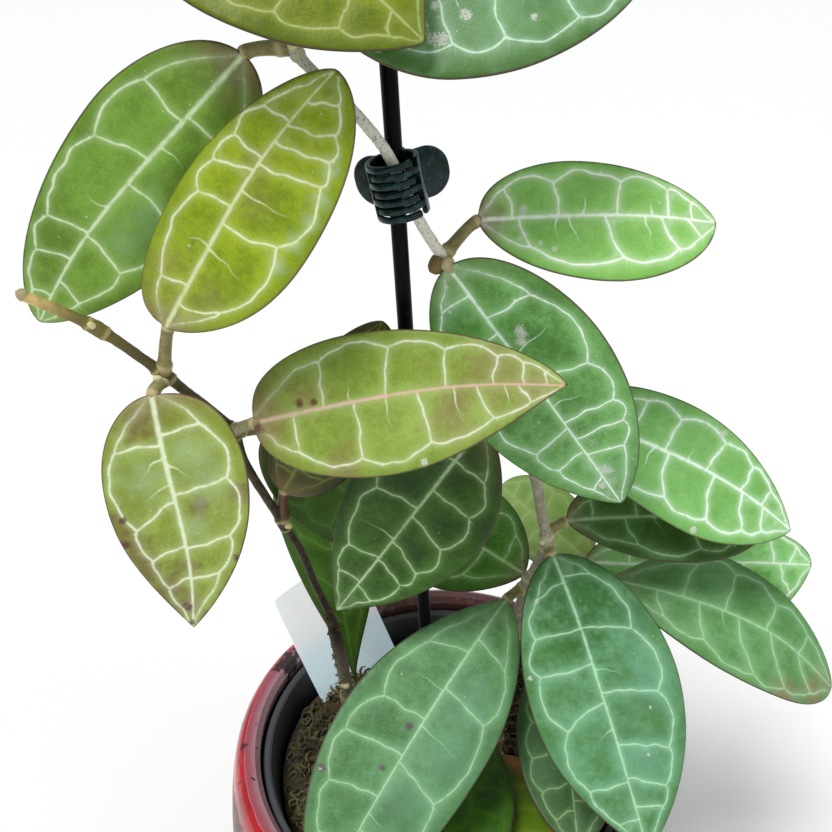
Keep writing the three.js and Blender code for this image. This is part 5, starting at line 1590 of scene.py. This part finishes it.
def paddle():
    half = PADDLE_HEIGHT / 2
    start_shaping(bpy.ops.mesh.primitive_cube_add, size=MM, location=(0, 0, 0))
    length = PADDLE_LENGTH - 1.2
    bpy.ops.transform.resize(value=(length, PADDLE_THICKNESS, PADDLE_HEIGHT))
    bpy.ops.transform.translate(value=((1.2 + length / 2) * MM, -(2 + PADDLE_THICKNESS / 2) * MM, 0))
    edit_mesh = bmesh.from_edit_mesh(bpy.context.object.data)
    bpy.ops.mesh.select_all(action="DESELECT")
    for edge in edit_mesh.edges:
        heading = edge.verts[1].co - edge.verts[0].co
        edge.select = abs(heading.y) > 0.5 * MM and edge.verts[0].co.x > 5 * MM
    bpy.ops.mesh.bevel(offset=(half - 0.6) * MM, segments=12, affect="EDGES")
    edit_mesh = bmesh.from_edit_mesh(bpy.context.object.data)
    bpy.ops.mesh.select_all(action="DESELECT")
    for edge in edit_mesh.edges:
        edge.select = abs((edge.verts[1].co - edge.verts[0].co).y) < 0.01 * MM
    bpy.ops.mesh.bevel(offset=0.45 * MM, segments=3, affect="EDGES")
    bpy.ops.mesh.select_all(action="SELECT")
    turn_about("Z", PADDLE_ANGLE)
    return end_shaping("paddle")


def join_solids(solids, name):
    """Joins overlapping solids to one skin."""
    first = solids[0]
    for other in solids[1:]:
        union = first.modifiers.new("union", "BOOLEAN")
        union.operation = "UNION"
        union.object = other
        bpy.context.view_layer.objects.active = first
        bpy.ops.object.modifier_apply(modifier=union.name)
        bpy.data.objects.remove(other)
    first.name = name
    return first


def cut_cylinder(solid, radius, low, high):
    bpy.ops.object.select_all(action="DESELECT")
    bpy.ops.mesh.primitive_cylinder_add(vertices=40, radius=radius * MM, depth=(high - low) * MM,
                                        location=(0, 0, (low + high) / 2 * MM))
    drill = bpy.context.object
    cut = solid.modifiers.new("bore", "BOOLEAN")
    cut.object = drill
    bpy.context.view_layer.objects.active = solid
    bpy.ops.object.modifier_apply(modifier=cut.name)
    bpy.data.objects.remove(drill)


def tilt_into_place(solid, mirrored):
    bpy.ops.object.select_all(action="DESELECT")
    solid.select_set(True)
    bpy.context.view_layer.objects.active = solid
    bpy.ops.object.mode_set(mode="EDIT")
    bpy.ops.mesh.select_all(action="SELECT")
    if mirrored:
        bpy.ops.transform.mirror(constraint_axis=(True, False, False), center_override=(0, 0, 0))
    bpy.ops.transform.translate(value=(0, LOOP_OFFSET * MM, 0))
    turn_about("Z", -CLIP_TURN)
    bpy.ops.transform.translate(value=(0, -LOOP_OFFSET * MM, 0))
    turn_about("Y", -CLIP_TILT)
    bpy.ops.transform.translate(value=[v * MM for v in CLIP_CENTRE])
    return end_shaping(solid.name, 40)


def clip_jaw(side, fingers, own, other):
    plate = swept_arc(-20, 75, -CLIP_HEIGHT / 2, CLIP_HEIGHT / 2, 24, 0.5)
    jaw = join_solids([plate, paddle()], "clip_jaw_" + side + "_shell")
    clear = KNUCKLE_RADIUS + 0.4
    cut_cylinder(jaw, clear, -SPRING_ROOM, SPRING_ROOM)
    cut_cylinder(jaw, clear, other[0] - 0.3, other[1] + 0.4)
    cut_cylinder(jaw, clear, -other[1] - 0.4, -other[0] + 0.3)
    half = FINGER_HEIGHT / 2
    bars = [swept_arc(-142, -17, h * FINGER_PITCH - half, h * FINGER_PITCH + half, 24, 0.6) for h in fingers]
    rib = [swept_arc(-21, -13, -CLIP_HEIGHT / 2 + 0.2, CLIP_HEIGHT / 2 - 0.2, 4, 0.7)]
    jaw = join_solids([jaw] + bars + rib + [knuckle(own[0], own[1]), knuckle(-own[1], -own[0])], jaw.name)
    cut_cylinder(jaw, PIN_RADIUS + 0.05, -CLIP_HEIGHT, CLIP_HEIGHT)
    return tilt_into_place(jaw, side == "left")


inner_knuckle, outer_knuckle = (SPRING_ROOM, 4.3), (4.7, 7.2)
plastic = clip_material()
right_jaw = clip_jaw("right", (-1, 0, 1), inner_knuckle, outer_knuckle)
finish_piece(right_jaw, plastic, CLIP_BODY["right"], "clip_plastic", "clip_jaw_right")
left_jaw = clip_jaw("left", (-1.5, -0.5, 0.5, 1.5), outer_knuckle, inner_knuckle)
finish_piece(left_jaw, plastic, CLIP_BODY["left"], "clip_plastic", "clip_jaw_left")
print("clip jaws:", len(right_jaw.data.polygons), len(left_jaw.data.polygons), "faces")

# %% Clip pin and spring
steel = steel_material()
PIN_SECTION = [(0, -8.5), (0.9, -8.45), (1.5, -8.1), (1.6, -7.7), (1.55, -7.5), (1, -7.5), (1, 7.5),
               (1.55, 7.5), (1.6, 7.7), (1.5, 8.1), (0.9, 8.45), (0, 8.5)]
pin = spin_section("clip_pin_steel", PIN_SECTION, 40)
pin = tilt_into_place(pin, False)
finish_piece(pin, steel, CLIP_BODY["left"], "clip_steel", "clip_pin")

SPRING_RADIUS = 1.75
SPRING_WIRE = 0.3
SPRING_TURNS = 3
SPRING_PITCH = 0.9
turns = np.linspace(0, SPRING_TURNS, SPRING_TURNS * 28 + 1)
coil = np.stack([SPRING_RADIUS * np.cos(2 * np.pi * turns), SPRING_RADIUS * np.sin(2 * np.pi * turns),
                 SPRING_PITCH * (turns - SPRING_TURNS / 2)], axis=1)
turn, tilt = math.radians(-CLIP_TURN), math.radians(-CLIP_TILT)
middled = coil + (0, LOOP_OFFSET, 0)
coil = np.stack([middled[:, 0] * math.cos(turn) - middled[:, 1] * math.sin(turn),
                 middled[:, 0] * math.sin(turn) + middled[:, 1] * math.cos(turn) - LOOP_OFFSET,
                 coil[:, 2]], axis=1)
turned_coil = np.stack([coil[:, 0] * math.cos(tilt) + coil[:, 2] * math.sin(tilt), coil[:, 1],
                        -coil[:, 0] * math.sin(tilt) + coil[:, 2] * math.cos(tilt)], axis=1) + CLIP_CENTRE
vertices, faces = tube(turned_coil, np.full(len(turned_coil), SPRING_WIRE), 10)
spring_mesh = make_mesh("clip_spring_wire", vertices * MM, faces, {})
link_piece("clip_spring_wire", spring_mesh, steel, CLIP_BODY["left"], ["clip_spring"])
print("spring:", len(faces), "faces")
